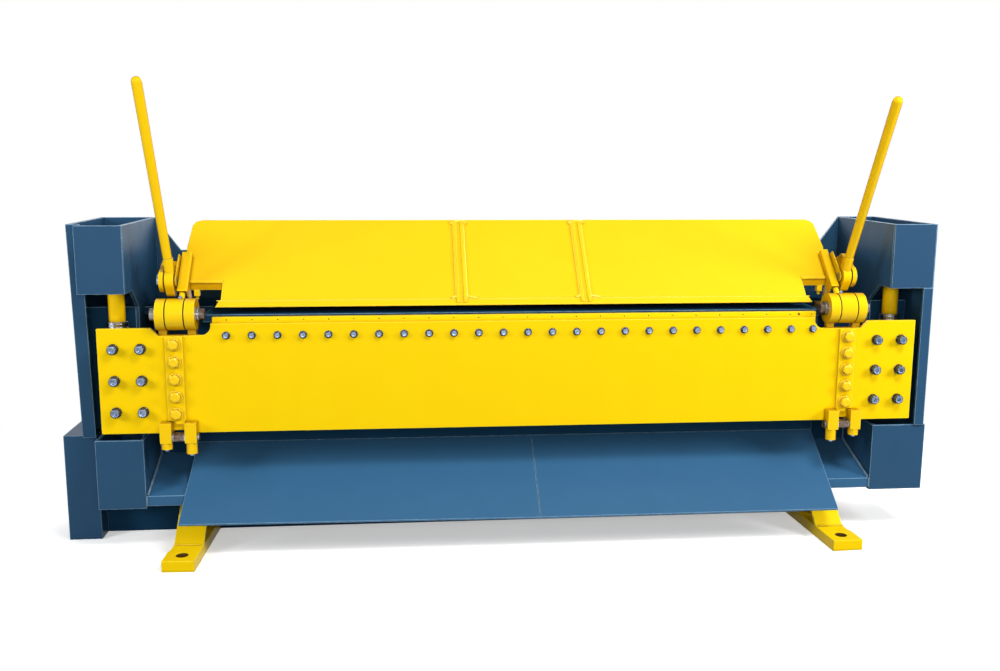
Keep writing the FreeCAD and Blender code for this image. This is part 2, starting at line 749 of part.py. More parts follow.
for k in range(-rib_count, rib_count + 1):
    ribs.append(prism_x(rib_outline, k * beam_rib_pitch - 5, k * beam_rib_pitch + 5))
save("beam_ribs", ribs)
web_y0 = face_notch_z - face_p * root2 + 5
web_y1 = face_notch_z - face_back_shift
web_z0 = face_notch_z - end_web_drop
left_web = box(-cheek_x, -(work_half - face_left_in), web_y0, web_y1, web_z0, face_notch_z)
right_web = box(work_half - face_right_in, cheek_x, web_y0, web_y1, web_z0, face_notch_z)
save("beam_end_webs", [left_web, right_web])
cap_outline = [(face_notch_z - face_back_shift, face_notch_z), (back_y0, face_notch_z),
               (back_y0, back_y0 + face_back_shift)]
cap_x = work_half + face_top_out
save("beam_end_caps", pair(prism_x(cap_outline, cap_x - face_plate, cap_x)))

# Two stiffening ribs on the face
strips = []
for x in face_rib_x:
    half = face_rib_w / 2
    a0 = root2 * (nose_z + nose_land) + lip - face_p
    a1 = root2 * (face_top_z - lip) - face_p
    strip = prism_a([(a0, face_p), (a1, face_p), (a1 - face_rib_t, face_p + face_rib_t),
                     (a0 + face_rib_t / 2, face_p + face_rib_t)], x - half, x + half)
    ridge_cut = prism_a([(a0 - 5, face_p + face_rib_t * 0.6), (a1 + 5, face_p + face_rib_t * 0.6),
                         (a1 + 5, face_p + face_rib_t + 2), (a0 - 5, face_p + face_rib_t + 2)],
                        x - half * 0.38, x + half * 0.38)
    strips.append(strip.cut([ridge_cut, nose]))
save("face_ribs", strips)

# Rod guides: an arched cover over each tie rod and a deep inner cheek beside it
guide_a0 = axis_a + clamp_stroke + barrel_r
guide_a1 = guide_a0 + guide_length
way = vec(0, 1 / root2, 1 / root2)


def prism_up(xp, a0, a1):
    # a section across the 45 degree direction, drawn out along it
    return prism([vec(x, *slope(a0, p)) for x, p in xp], way * (a1 - a0))


crest_p = axis_p + guide_crest
cheek_p0 = axis_p - guide_depth
cheek_step = root2 * face_notch_z - face_p - 4
clamped_y = axis_y + clamp_stroke / root2
clamped_z = axis_z + clamp_stroke / root2


def rod_guide(plate_x):
    # made for the right hand end, out to the inner plate of the lever's bracket
    x1 = plate_x - slip_gap
    x0 = cheek_x + guide_wall
    low_p = crest_p - guide_wall
    channel = prism_up([(cheek_x, axis_p), (cheek_x, low_p), (x0, crest_p), (x1, crest_p), (x1, low_p),
                        (x0 + guide_wall * 0.6, low_p), (x0, low_p - guide_wall * 0.6), (x0, axis_p)],
                       guide_a0, guide_a1)
    end = prism_up([(cheek_x, face_p), (cheek_x, low_p), (x0, crest_p), (x1, crest_p), (x1, face_p)],
                   guide_a1 - guide_wall, guide_a1)
    cheek = prism_a([(guide_a0, axis_p), (guide_a1, axis_p), (guide_a1, face_p), (cheek_step, face_p),
                     (cheek_step, face_back_p - 2), (cheek_step - 30, cheek_p0), (guide_a0 + 8, cheek_p0)],
                    cheek_x, x0)
    barrel_path = rod_x(clamped_y, clamped_z, cheek_x - 1, plate_x + 1, barrel_r + barrel_clear)
    return join(channel, [cheek, end]).cut(barrel_path)


save("rod_guides", [mirrored(rod_guide(left_plate)), rod_guide(right_plate)])

# Lever brackets: a web under the face plate's edge, an inner plate and an outer ear
web_a0 = pivot_a + web_from_pivot
web_a1 = web_a0 + web_length


def lever_bracket(plate_x):
    ear_x = plate_x + ear_from_plate
    ear_x1 = ear_x + ear_plate
    web_low = face_back_p - bracket_t
    web_outline = [(web_a0, web_low), (web_a1, web_low), (web_a1, face_back_p), (web_a0, face_back_p)]
    web = prism_a(web_outline, cap_x, ear_x1)
    inner_outline = [(pivot_a - 2, pivot_p - arm_lap), (pivot_a + arm_neck, pivot_p - arm_lap),
                     (web_a0, face_back_p), (web_a1, face_back_p),
                     (web_a1 - arm_rise, pivot_p + arm_lap), (pivot_a - 2, pivot_p + arm_rise)]
    inner = prism_a(inner_outline, plate_x, plate_x + bracket_plate)
    ring = rod_x(pivot_y, pivot_z, plate_x, plate_x + bracket_plate, lever_pin_r + ring_wall)
    outer_outline = [(pivot_a, pivot_p - ear_r * 0.9), (web_a0, web_low), (web_a1, face_back_p),
                     (web_a1 - arm_rise, pivot_p), (pivot_a + ear_r * 0.6, pivot_p + ear_r * 0.8)]
    outer = prism_a(outer_outline, ear_x, ear_x1)
    ear = hull_x(pivot_y, pivot_z, ear_r, pivot_y, pivot_z - ear_drop, ear_tip_r, ear_x, ear_x1)
    spacer = rod_x(pivot_y, pivot_z, ear_x - spacer_w, ear_x, spacer_r)
    whole = join(web, [inner, ring, outer, ear, spacer])
    barrel_path = rod_x(clamped_y, clamped_z, plate_x - 1, ear_x1 + 1, barrel_r + barrel_clear)
    pin_bore = rod_x(pivot_y, pivot_z, plate_x - 1, ear_x1 + 1, lever_pin_r + running_fit)
    return whole.cut([barrel_path, pin_bore])


def pivot_bolt(plate_x):
    ear_x1 = plate_x + ear_from_plate + ear_plate
    shank = rod_x(pivot_y, pivot_z, plate_x, ear_x1, lever_pin_r)
    head = rod_x(pivot_y, pivot_z, ear_x1, ear_x1 + pivot_head_h, pivot_head_r)
    head = head.makeChamfer(3, [e for e in head.Edges if e.BoundBox.XMin > ear_x1 + 1][:1])
    return join(shank, [head])


save("lever_brackets", [mirrored(lever_bracket(left_plate)), lever_bracket(right_plate)])
save("lever_pivot_bolts", [mirrored(pivot_bolt(left_plate)), pivot_bolt(right_plate)])

# Stop screws that hang below the beam's end webs
stop_x = work_half + stop_out
stop_z = web_z0 - stop_h
stop = box(stop_x - stop_w / 2, stop_x + stop_w / 2, web_y0, web_y0 + stop_d, stop_z, web_z0)
stop = join(stop, [rod_z(stop_x, web_y0 + stop_d / 2, stop_z - stop_tip, stop_z, stop_tip_r)])
save("beam_stop_screws", pair(stop))

# Hand levers: tapered crank hub, crank pin, socket and a long round bar
def hand_lever(plate_x, lean_deg, splay):
    lean = radians(lean_deg)
    hub_0 = plate_x + hub_from_plate
    hub_1 = hub_0 + hub_w
    bar_way = vec(splay / lever_length, -sin(lean), cos(lean))
    hub = hull_x(pivot_y, pivot_z, lever_hub_r, crank_y, crank_z, crank_hub_r, hub_0, hub_1)
    crank_pin = rod_x(crank_y, crank_z, rod_x0 - eye_half - 1, hub_0, crank_pin_r)
    bar_root = vec(hub_0 + hub_w / 2, pivot_y - sin(lean) * lever_root_up, pivot_z + cos(lean) * lever_root_up)
    socket_r = lever_root_r + socket_wall
    socket = Part.makeCone(socket_r, socket_r - socket_wall / 2, socket_h, bar_root, bar_way)
    reach = lever_root_up + socket_h
    socket = socket.common(box(hub_0, hub_1, pivot_y - reach, pivot_y + reach, pivot_z, pivot_z + reach))
    run = lever_length - lever_root_up - lever_tip_r
    grip = Part.makeCone(lever_root_r, lever_tip_r, run, bar_root, bar_way)
    knob = Part.makeSphere(lever_tip_r, bar_root + bar_way * (run / bar_way.Length))
    lever = join(hub, [crank_pin, socket, grip, knob])
    return lever.cut(rod_x(pivot_y, pivot_z, hub_0 - 1, hub_1 + 1, lever_pin_r + running_fit))


save("left_lever", [mirrored(hand_lever(left_plate, left_lean, left_splay))])
save("right_lever", [hand_lever(right_plate, right_lean, right_splay)])

# Fixed knuckles between the leaf's knuckles, with an arm back to the bed wall
arm_x0 = (mid_0 + mid_1) / 2 - arm_w / 2 + slip_gap
knuckle = rod_x(axis_y, axis_z, mid_0, mid_1, barrel_r)
arm = box(arm_x0, arm_x0 + arm_w, axis_y, bed_wall_y, bed_top - arm_h, bed_top)
knuckle = join(knuckle, [arm])
knuckle = knuckle.cut(rod_x(axis_y, axis_z, mid_0 - 1, mid_1 + 1, hinge_pin_r + running_fit))
bore_foot = vec(rod_x0, *slope(axis_a + barrel_r / 2, axis_p))
socket_bore = Part.makeCylinder(tie_rod_r + bolt_clear, barrel_r, bore_foot, way)
knuckle = knuckle.cut(socket_bore)
save("fixed_knuckles", pair(knuckle))
cap = rod_z(rod_x0 - 6, axis_y, axis_z + barrel_r - 1, axis_z + barrel_r + 7, 8)
cap = join(cap, [Part.makeCone(8, 4, 4, vec(rod_x0 - 6, axis_y, axis_z + barrel_r + 7), vec(0, 0, 1))])
cap = cap.cut(rod_x(axis_y, axis_z, mid_0, mid_1, barrel_r))
save("grease_caps", pair(cap))

# Tie rods: screwed into the fixed knuckles, a slotted eye round each crank pin
rod_a0 = axis_a + barrel_r / 2
tie = Part.makeCylinder(tie_rod_r, eye_a - rod_a0, vec(rod_x0, *slope(rod_a0, axis_p)), way)
nut_a = axis_a + barrel_r + 1
nut = Part.makeCylinder(tie_rod_r + 5, 10, vec(rod_x0, *slope(nut_a, axis_p)), way)
nut = nut.common(box(rod_x0 - tie_rod_r - 5, rod_x0 + tie_rod_r + 5, 0, 500, 0, 2000))
off = slot_across - crank_pin_r
eye_1 = slope(eye_a, axis_p + off)
eye_2 = slope(eye_a, axis_p - off)
eye = hull_x(eye_1[0], eye_1[1], eye_across - off, eye_2[0], eye_2[1], eye_across - off,
             rod_x0 - eye_half, rod_x0 + eye_half)
slot = hull_x(eye_1[0], eye_1[1], slot_along, eye_2[0], eye_2[1], slot_along,
              rod_x0 - eye_half - 20, rod_x0 + eye_half + 20)
tie = join(tie, [nut, eye]).cut(slot)
save("tie_rods", pair(tie))

# Bed: top plate, front web, wall and rear web, with ribs between them
bed_under = bed_top - bed_plate
wall_back = bed_wall_y + bed_web
bed_outline = [(bed_half, bed_y0), (bed_half, wall_back), (stand_in, wall_back), (stand_in, stand_depth_y)]
bed_outline = bed_outline + [(-x, y) for x, y in reversed(bed_outline)]
save("bed_top_plate", [prism([vec(x, y, bed_under) for x, y in bed_outline], vec(0, 0, bed_plate))])
front_x0 = -(work_half + bed_front_left)
front_x1 = work_half + bed_front_right
front_web = box(front_x0, front_x1, bed_front_web_y, bed_front_web_y + bed_web, bed_front_low, bed_under)
save("bed_front_web", [front_web])
wall_outline = [(-lower_in, beam_base_h), (lower_in, beam_base_h), (lower_in, bed_top), (bed_half, bed_top),
                (bed_half, bed_under), (-bed_half, bed_under), (-bed_half, bed_top), (-lower_in, bed_top)]
save("bed_wall", [prism_y(wall_outline, bed_wall_y, bed_wall_y + bed_web)])
rear_y = stand_depth_y - bed_web
save("bed_rear_web", [box(-stand_in, stand_in, rear_y, stand_depth_y, beam_base_h, bed_under)])
rib_n = int(work_half / bed_rib_pitch)
bed_rib_list = []
for k in range(-rib_n, rib_n + 1):
    x = k * bed_rib_pitch
    bed_rib_list.append(box(x - 5, x + 5, bed_front_web_y + bed_web, bed_wall_y, bed_front_low, bed_under))
    bed_rib_list.append(box(x - 5, x + 5, bed_wall_y + bed_web, rear_y, beam_base_h, bed_under))
save("bed_ribs", bed_rib_list)

# Chute: two sloping panels side by side, resting against the foot of the front web
chute_outline = [(chute_low_y, chute_low_z), (bed_front_web_y, bed_front_low),
                 (bed_front_web_y, bed_front_low - chute_edge), (chute_low_y, chute_low_z - chute_edge)]
left_panel = prism_x(chute_outline, -(chute_left + chute_flare), chute_joint_x - chute_joint_gap / 2)
flare_in = chute_flare * bed_front_web_y / chute_low_y
left_plan = [vec(-(chute_left + chute_flare), chute_low_y + chute_flare, 0), vec(chute_joint_x, chute_low_y, 0),
             vec(chute_joint_x, bed_front_web_y, 0), vec(-(chute_left + flare_in), bed_front_web_y, 0)]
left_panel = left_panel.common(prism(left_plan, vec(0, 0, bed_front_low + 1)))
save("left_chute_panel", [left_panel])
save("right_chute_panel", [prism_x(chute_outline, chute_joint_x + chute_joint_gap / 2, chute_right)])

# Aprons between the chute and the lower boxes, tucked under the chute's edge
apron_low = beam_base_h + apron_rise
apron_lip_top = apron_low + apron_lip_h
apron_back_z = apron_lip_top + apron_climb
apron_slope = apron_climb / bed_wall_y
apron_main = [(0, apron_low), (0, apron_lip_top), (bed_wall_y, apron_back_z),
              (bed_wall_y, apron_back_z - apron_plate),
              (apron_plate, apron_lip_top + apron_slope * apron_plate - apron_plate), (apron_plate, apron_low)]
tuck_z = apron_lip_top + apron_slope * apron_tuck_y
apron_under = [(apron_tuck_y, tuck_z), (bed_wall_y, apron_back_z), (bed_wall_y, apron_back_z - apron_plate),
               (apron_tuck_y, tuck_z - apron_plate)]
aprons = []
for side, edge in ((-1, chute_left), (1, chute_right)):
    piece = prism_x(apron_main, edge + slip_gap, lower_in)
    piece = join(piece, [prism_x(apron_under, work_half + apron_tuck, edge + slip_gap)])
    aprons.append(mirrored(piece) if side < 0 else piece)
save("side_aprons", aprons)

# Floor beam, the pedestal at the left end and the two bolt down feet
base_x1 = work_half + beam_base_right
floor_beam = box(-pedestal_in, base_x1, beam_base_y, beam_base_y + beam_base_d, 0, beam_base_h)
hollow = box(-pedestal_in + beam_base_wall, base_x1 - beam_base_wall, beam_base_y + beam_base_wall,
             beam_base_y + beam_base_d - beam_base_wall, beam_base_wall, beam_base_h - beam_base_wall)
save("floor_beam", [floor_beam.cut(hollow)])
pedestal_back = pedestal_front + pedestal_depth
pedestal = box(-pedestal_in - pedestal_w, -pedestal_in, pedestal_front, pedestal_back, 0, pedestal_h)
hollow = box(-pedestal_in - pedestal_w + beam_base_wall, -pedestal_in - beam_base_wall,
             pedestal_front + beam_base_wall, pedestal_back - beam_base_wall,
             beam_base_wall, pedestal_h - beam_base_wall)
save("left_pedestal", [pedestal.cut(hollow)])


def chute_under(y):
    return chute_low_z - chute_edge + chute_slope * (y - chute_low_y)


def foot(x, gusset_x):
    # pad with its bolt hole, bar back to the floor beam, a sloping brace and a chute post;
    # all but the post is turned outwards a little about the bolt's axis
    bar_half = foot_bar_w / 2
    out = 1 if x > 0 else -1
    edge = x + out * (foot_w / 2 + pad_out)
    pad_y = foot_front_y + foot_pad
    pad_outline = [(x - out * foot_w / 2, foot_front_y), (edge, foot_front_y), (edge, pad_y - pad_corner),
                   (x + out * bar_half, pad_y), (x - out * foot_w / 2, pad_y)]
    pad = prism([vec(px, py, 0) for px, py in pad_outline], vec(0, 0, foot_h))
    foot_bar = box(x - bar_half, x + bar_half, pad_y, beam_base_y + foot_plate, 0, foot_h)
    run = foot_brace_end - foot_brace_y
    brace_low = foot_plate * root2
    brace = prism_x([(foot_brace_y, foot_h), (foot_brace_end, foot_h + run),
                     (foot_brace_end, foot_h + run - brace_low), (foot_brace_y + brace_low, foot_h)],
                    x - bar_half, x + bar_half)
    post_y = foot_brace_end - 30
    post = prism_x([(post_y, foot_h), (beam_base_y, foot_h), (beam_base_y, chute_under(bed_front_web_y)),
                    (bed_front_web_y, chute_under(bed_front_web_y)), (post_y, chute_under(post_y))],
                   gusset_x - foot_plate / 2, gusset_x + foot_plate / 2)
    turned = join(pad, [foot_bar, brace])
    turned.rotate(vec(x, foot_hole_y, 0), vec(0, 0, 1), out * foot_toe)
    turned = turned.cut(box(x - foot_w, x + foot_w, beam_base_y, beam_base_y + foot_w, -1, foot_h + 1))
    return join(turned, [post]).cut(rod_z(x, foot_hole_y, -1, foot_h + 1, foot_hole_r))


post_x = work_half + apron_tuck - foot_plate / 2 - slip_gap
save("left_foot", [foot(-foot_left_x, -post_x)])
save("right_foot", [foot(foot_right_x, post_x)])

# Inner plates of the side stands, cut back below the upper box to clear the leaf's lugs
skin_y = box_front_y + stand_skin
inner_outline = [(skin_y, box_top_z), (skin_y, box_low_z), (slant_y, box_low_z), (throat_y, slant_z),
                 (throat_y, lower_box_low), (stand_depth_y, lower_box_low),
                 (stand_depth_y, box_top_z)]
inner_plate = prism_x(inner_outline, stand_in, stand_in + stand_plate)
save("stand_inner_plates", pair(inner_plate))

# Upper front plates of the stands
front_plate = box(stand_in, stand_in + box_width, box_front_y, box_front_y + stand_skin, box_low_z, box_top_z)
save("stand_upper_fronts", pair(front_plate))

# Outer plate of the right stand, with a flange along its front edge
lower_skin_y = lower_box_y + stand_skin
skin_x = right_outer - stand_skin
outer_right = box(skin_x, right_outer, lower_skin_y, stand_depth_y, lower_box_low, box_top_z)
front_edge = box(skin_x, right_outer, box_front_y, lower_skin_y, lower_box_top, box_low_z)
upper_edge = box(stand_in + box_width, right_outer, box_front_y, lower_skin_y, box_low_z, box_top_z)
upper_fill = box(skin_x, right_outer, skin_y, lower_skin_y, box_low_z, box_top_z)
flange = box(right_outer - right_flange, right_outer, box_front_y, skin_y, lower_box_top, box_low_z)
save("right_stand_outer_plate", [join(outer_right, [front_edge, upper_edge, upper_fill, flange])])

# Outer plate of the left stand, which leans back and stands on the pedestal
left_outline = [(left_lean_top_y, box_top_z), (left_lean_low_y, pedestal_h), (stand_depth_y, pedestal_h),
                (stand_depth_y, box_top_z)]
outer_left = prism_x(left_outline, -left_outer, -left_outer + stand_skin)
left_strip = prism_x([(left_lean_top_y, box_top_z), (left_lean_low_y, pedestal_h),
                      (left_lean_low_y + stand_skin, pedestal_h), (left_lean_top_y + stand_skin, box_top_z)],
                     -left_outer, -left_outer + left_flange)
save("left_stand_outer_plate", [join(outer_left, [left_strip])])

# Back plates of the stands
back_right = box(stand_in, right_outer, stand_depth_y, stand_depth_y + stand_skin, lower_box_low, box_top_z)
back_left = box(-left_outer, -stand_in, stand_depth_y, stand_depth_y + stand_skin, lower_box_low, box_top_z)
save("stand_back_plates", [back_left, back_right])

# Throat plates that close each stand behind the leaf's end, with a ledge along the top
throats = []
for x0, x1 in ((-left_outer + stand_skin, -stand_in - stand_plate), (stand_in + stand_plate, skin_x)):
    web = box(x0, x1, throat_y, throat_y + stand_skin, lower_box_top, throat_ledge_z)
    ledge_y = throat_y + stand_skin
    ledge = box(x0, x1, ledge_y, ledge_y + 2 * stand_skin, throat_ledge_z - stand_skin, throat_ledge_z)
    throats.append(join(web, [ledge]))
save("throat_plates", throats)

# Lower boxes in front of the stands, open at the top
def lower_box(x0, x1, outer_wall):
    front = box(x0, x1, lower_box_y, lower_skin_y, lower_box_low, lower_box_top)
    inner = box(x0, x0 + stand_skin, lower_skin_y, bed_wall_y + bed_web, lower_box_low, lower_box_top)
    floor_x1 = x1 if outer_wall else skin_x
    floor = box(x0 + stand_skin, floor_x1, lower_skin_y, throat_y, lower_box_low, lower_box_low + stand_skin)
    pieces = [inner, floor]
    if outer_wall:
        pieces.append(box(x1 - stand_skin, x1, lower_skin_y, throat_y, lower_box_low, lower_box_top))
    return join(front, pieces)


save("left_lower_box", [mirrored(lower_box(lower_in, lower_left, True))])
save("right_lower_box", [lower_box(lower_in, right_outer + lower_right_out, False)])

# Trunnion brackets inside the upper boxes: a cross plate and two cheeks for each cylinder
cross_y = bed_wall_y
bracket_low = trunnion_z - bracket_below
bracket_high = trunnion_z + bracket_above
brackets = []
for side, outer in ((-1, left_outer - stand_skin), (1, skin_x)):
    cross_plate = box(stand_in + stand_plate, outer, cross_y, cross_y + stand_skin, bracket_low, bracket_high)
    pieces = []
    for x0 in (cyl_x - bracket_room - bracket_t, cyl_x + bracket_room):
        outline = [(lug_y, trunnion_z - bracket_boss_r), (cross_y, bracket_low), (cross_y, bracket_high),
                   (lug_y, trunnion_z + bracket_boss_r)]
        pieces.append(prism_x(outline, x0, x0 + bracket_t))
        pieces.append(rod_x(lug_y, trunnion_z, x0, x0 + bracket_t, bracket_boss_r))
    whole = join(cross_plate, pieces)
    brackets.append(mirrored(whole) if side < 0 else whole)
save("trunnion_brackets", brackets)

# Rear tie plate between the stands, rising to meet them at each end
tie_right = [(bed_half, tie_plate_low), (bed_half, bed_top - tie_leg_lap), (stand_in, bed_top - tie_leg_lap),
             (stand_in, box_top_z - 5), (stand_in - 3, box_top_z - 5),
             (stand_in - tie_rise_in + tie_rise_step, tie_plate_top + tie_rise_h),
             (stand_in - tie_rise_in, tie_plate_top)]
tie_left = [(-x, z) for x, z in reversed(tie_right)]
save("rear_tie_plate", [prism_y(tie_right + tie_left, stand_depth_y, stand_depth_y + stand_skin)])
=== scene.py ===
# %% [markdown]
# # A sheet metal folding machine
# The real machine is welded from thick plate and painted in two enamels: blue for
# the bed and stands, yellow for the feet, the hinges and nearly everything that
# moves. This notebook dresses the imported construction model: it keeps its solids,
# gives each one a finish, makes better bolts, glands and weld beads than the model
# has, and sets up the studio. Everything is in metres, X along the machine, Y away
# from the operator, Z up.

# %% Load the frame
import json
import math
import bpy
import bmesh
from mathutils import Matrix, Vector


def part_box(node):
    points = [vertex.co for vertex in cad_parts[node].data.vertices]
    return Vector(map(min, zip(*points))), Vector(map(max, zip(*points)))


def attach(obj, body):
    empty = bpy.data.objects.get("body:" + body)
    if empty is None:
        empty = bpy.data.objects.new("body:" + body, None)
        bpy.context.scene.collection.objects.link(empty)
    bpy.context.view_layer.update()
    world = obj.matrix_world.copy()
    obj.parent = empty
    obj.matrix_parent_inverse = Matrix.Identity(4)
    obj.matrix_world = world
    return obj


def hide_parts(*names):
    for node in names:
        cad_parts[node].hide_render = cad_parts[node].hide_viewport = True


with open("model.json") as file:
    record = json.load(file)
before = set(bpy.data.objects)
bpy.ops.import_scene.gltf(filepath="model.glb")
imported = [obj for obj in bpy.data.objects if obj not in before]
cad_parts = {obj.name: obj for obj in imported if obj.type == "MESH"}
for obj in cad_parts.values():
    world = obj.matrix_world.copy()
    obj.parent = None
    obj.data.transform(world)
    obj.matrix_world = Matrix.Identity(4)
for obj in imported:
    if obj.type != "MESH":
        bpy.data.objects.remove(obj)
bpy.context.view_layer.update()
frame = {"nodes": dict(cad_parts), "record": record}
print("nodes:", len(frame["nodes"]))

# %% [markdown]
# ## The shop drawing's coordinates
# The builder's drawing counts millimetres from the leaf's front face and the middle
# of the working length. The row's origin is on the floor between the two feet. One
# small helper turns drawing numbers into metres in the row, which is easier to read
# than shifted numbers all over the file. A second one does the same for points on
# the clamp beam's face, which leans back at 45 degrees.

# %% From drawing to row
DRAWING_SHIFT = Vector((11.25, 172.0, 0.0))
ROOT2 = math.sqrt(2.0)
FACE_LIFT = 669.9


def at(x, y, z):
    return (Vector((x, y, z)) + DRAWING_SHIFT) / 1000.0


def on_face(x, up_slope, lift=0.0):
    out = FACE_LIFT + lift
    return at(x, (up_slope - out) / ROOT2, (up_slope + out) / ROOT2)


print("the hinge axis lies at", tuple(round(v, 3) for v in at(0, 20, 987)))

# %% [markdown]
# ## The camera
# The photograph was taken from slightly left of the middle, a little above head
# height. Its place was found by matching known corners and bolts to their pixels,
# which gives a position, three turns and a focal length in pixels. Blender wants a
# lens in millimetres: the focal length in pixels times 36 mm over the image width.

# %% Camera
PHOTO_WIDTH = 1000
FOCAL_PIXELS = 1045.0
SENSOR_WIDTH = 36.0
CAMERA_PLACE = (-497.2, -4230.8, 1611.7)
yaw, pitch, roll = 0.0967, 0.1685, 0.0044

level = Vector((math.sin(yaw), math.cos(yaw), 0))
right = Vector((math.cos(yaw), -math.sin(yaw), 0))
up = Vector((0, 0, 1))
ahead = level * math.cos(pitch) - up * math.sin(pitch)
above = up * math.cos(pitch) + level * math.sin(pitch)
side = right * math.cos(roll) + above * math.sin(roll)
top = above * math.cos(roll) - right * math.sin(roll)

lens = bpy.data.cameras.new("photo_camera")
lens.sensor_width = SENSOR_WIDTH
lens.lens = FOCAL_PIXELS / PHOTO_WIDTH * SENSOR_WIDTH
camera = bpy.data.objects.new("photo_camera", lens)
bpy.context.scene.collection.objects.link(camera)
turn = Matrix((side, top, -ahead)).transposed().to_4x4()
camera.matrix_world = Matrix.Translation(at(*CAMERA_PLACE)) @ turn
bpy.context.scene.camera = camera
print("lens", round(lens.lens, 2), "mm at", tuple(round(v, 2) for v in camera.location))

# %% [markdown]
# ## Helpers for values
# A node tree written out in full takes ten lines for one mask. These helpers each
# make one common step: a noise, a change of range, and a sum or product of two
# values. A value can be a plain number or another node's socket.

# %% Value helpers
def new_material(name):
    material = bpy.data.materials.new(name)
    material.use_nodes = True
    material.node_tree.nodes.clear()
    return material, material.node_tree


def add(tree, kind, **settings):
    node = tree.nodes.new(kind)
    for key, value in settings.items():
        setattr(node, key, value)
    return node


def feed(tree, socket, value):
    if isinstance(value, (int, float)):
        socket.default_value = value
    else:
        tree.links.new(value, socket)


def noise_at(tree, coordinates, scale, detail=3.0, rough=0.55):
    node = add(tree, "ShaderNodeTexNoise")
    node.inputs["Detail"].default_value = detail
    node.inputs["Roughness"].default_value = rough
    tree.links.new(coordinates, node.inputs["Vector"])
    feed(tree, node.inputs["Scale"], scale)
    return node.outputs["Fac"]


def span(tree, value, low, high, to_low=0.0, to_high=1.0):
    node = add(tree, "ShaderNodeMapRange")
    tree.links.new(value, node.inputs["Value"])
    labels = ("From Min", "From Max", "To Min", "To Max")
    for label, number in zip(labels, (low, high, to_low, to_high)):
        feed(tree, node.inputs[label], number)
    return node.outputs["Result"]


def combine(tree, operation, a, b):
    node = add(tree, "ShaderNodeMath", operation=operation)
    feed(tree, node.inputs[0], a)
    feed(tree, node.inputs[1], b)
    return node.outputs[0]


def times(tree, a, b):
    return combine(tree, "MULTIPLY", a, b)


print("value helpers ready")

# %% [markdown]
# ## Helpers for colours and surfaces
# One helper blends two colours by a mask, and one lays a plain colour over another
# where the mask says so. A third gives a shader its small relief and connects it to
# the output, which every material ends with. The last one tells whether a ray comes
# from the camera, a mirror or a look through glass, or only carries light.

# %% Colour and surface helpers
MIX_FIRST, MIX_SECOND, MIX_RESULT = 6, 7, 2


def blend_colour(tree, mask, first, second):
    node = add(tree, "ShaderNodeMix", data_type="RGBA")
    tree.links.new(mask, node.inputs["Factor"])
    tree.links.new(first, node.inputs[MIX_FIRST])
    tree.links.new(second, node.inputs[MIX_SECOND])
    return node.outputs[MIX_RESULT]


def colour_node(tree, colour):
    node = add(tree, "ShaderNodeRGB")
    node.outputs[0].default_value = (*colour, 1)
    return node.outputs[0]


def lay_over(tree, mask, under, colour):
    return blend_colour(tree, mask, under, colour_node(tree, colour))


def surface(tree, shader, height, normal, depth):
    bump = add(tree, "ShaderNodeBump")
    bump.inputs["Distance"].default_value = depth
    tree.links.new(height, bump.inputs["Height"])
    tree.links.new(normal, bump.inputs["Normal"])
    tree.links.new(bump.outputs[0], shader.inputs["Normal"])
    output = add(tree, "ShaderNodeOutputMaterial")
    tree.links.new(shader.outputs[0], output.inputs[0])


def seen_directly(tree):
    path = add(tree, "ShaderNodeLightPath")
    glossy, passing = path.outputs["Is Glossy Ray"], path.outputs["Is Transmission Ray"]
    indirect = combine(tree, "MAXIMUM", glossy, passing)
    return combine(tree, "MAXIMUM", path.outputs["Is Camera Ray"], indirect)


print("colour and surface helpers ready")

# %% [markdown]
# ## A helper for node groups
# An effect that several materials share is built once as a node group. Its inputs
# and outputs are named sockets, so each material can set its own values on it. A
# group could also hold the whole shader, but then its settings hide inside it and an
# exporter can't read them, so the groups only put out colours, masks, values and
# normals.

# %% Node groups
FLOAT, COLOUR, VECTOR = "NodeSocketFloat", "NodeSocketColor", "NodeSocketVector"


def new_group(name, inputs, outputs):
    group = bpy.data.node_groups.new(name, "ShaderNodeTree")
    for label, kind, value in inputs:
        socket = group.interface.new_socket(name=label, in_out="INPUT", socket_type=kind)
        socket.default_value = value
    for label, kind in outputs:
        group.interface.new_socket(name=label, in_out="OUTPUT", socket_type=kind)
    return group, add(group, "NodeGroupInput"), add(group, "NodeGroupOutput")


def place_group(tree, group, **values):
    node = add(tree, "ShaderNodeGroup", node_tree=group)
    for label, value in values.items():
        node.inputs[label.replace("_", " ")].default_value = value
    return node


print("group helpers ready")

# %% [markdown]
# ## The two bolt holes
# Each foot has one hole for a floor bolt. The feet paint its wall dark brown, for bare dirty
# steel and as painted shade. The mask is the distance from the hole's axis. The floor uses it
# too, to drop its extra brightness at the bottom of a hole and paint it dark as painted shade.
# The two holes lie at equal distances from the origin, so one absolute value serves both.

# %% Group: bolt hole
HOLE_X, HOLE_RADIUS = 1.36025, 0.0246
bolt_hole, start, end = new_group(
    "bolt hole", [("Radius", FLOAT, HOLE_RADIUS), ("Softness", FLOAT, 0.001)],
    [("Mask", FLOAT)])
g = bolt_hole
split = add(g, "ShaderNodeSeparateXYZ")
g.links.new(add(g, "ShaderNodeTexCoord").outputs["Object"], split.inputs[0])
along = combine(g, "SUBTRACT", combine(g, "ABSOLUTE", split.outputs["X"], 0.0), HOLE_X)
across = split.outputs["Y"]
square = combine(g, "ADD", times(g, along, along), times(g, across, across))
distance = combine(g, "SQRT", square, 0.0)
outer = combine(g, "ADD", start.outputs["Radius"], start.outputs["Softness"])
inside = span(g, distance, start.outputs["Radius"], outer, 1.0, 0.0)
g.links.new(inside, end.inputs["Mask"])
print("group", bolt_hole.name, "with", len(bolt_hole.nodes), "nodes")
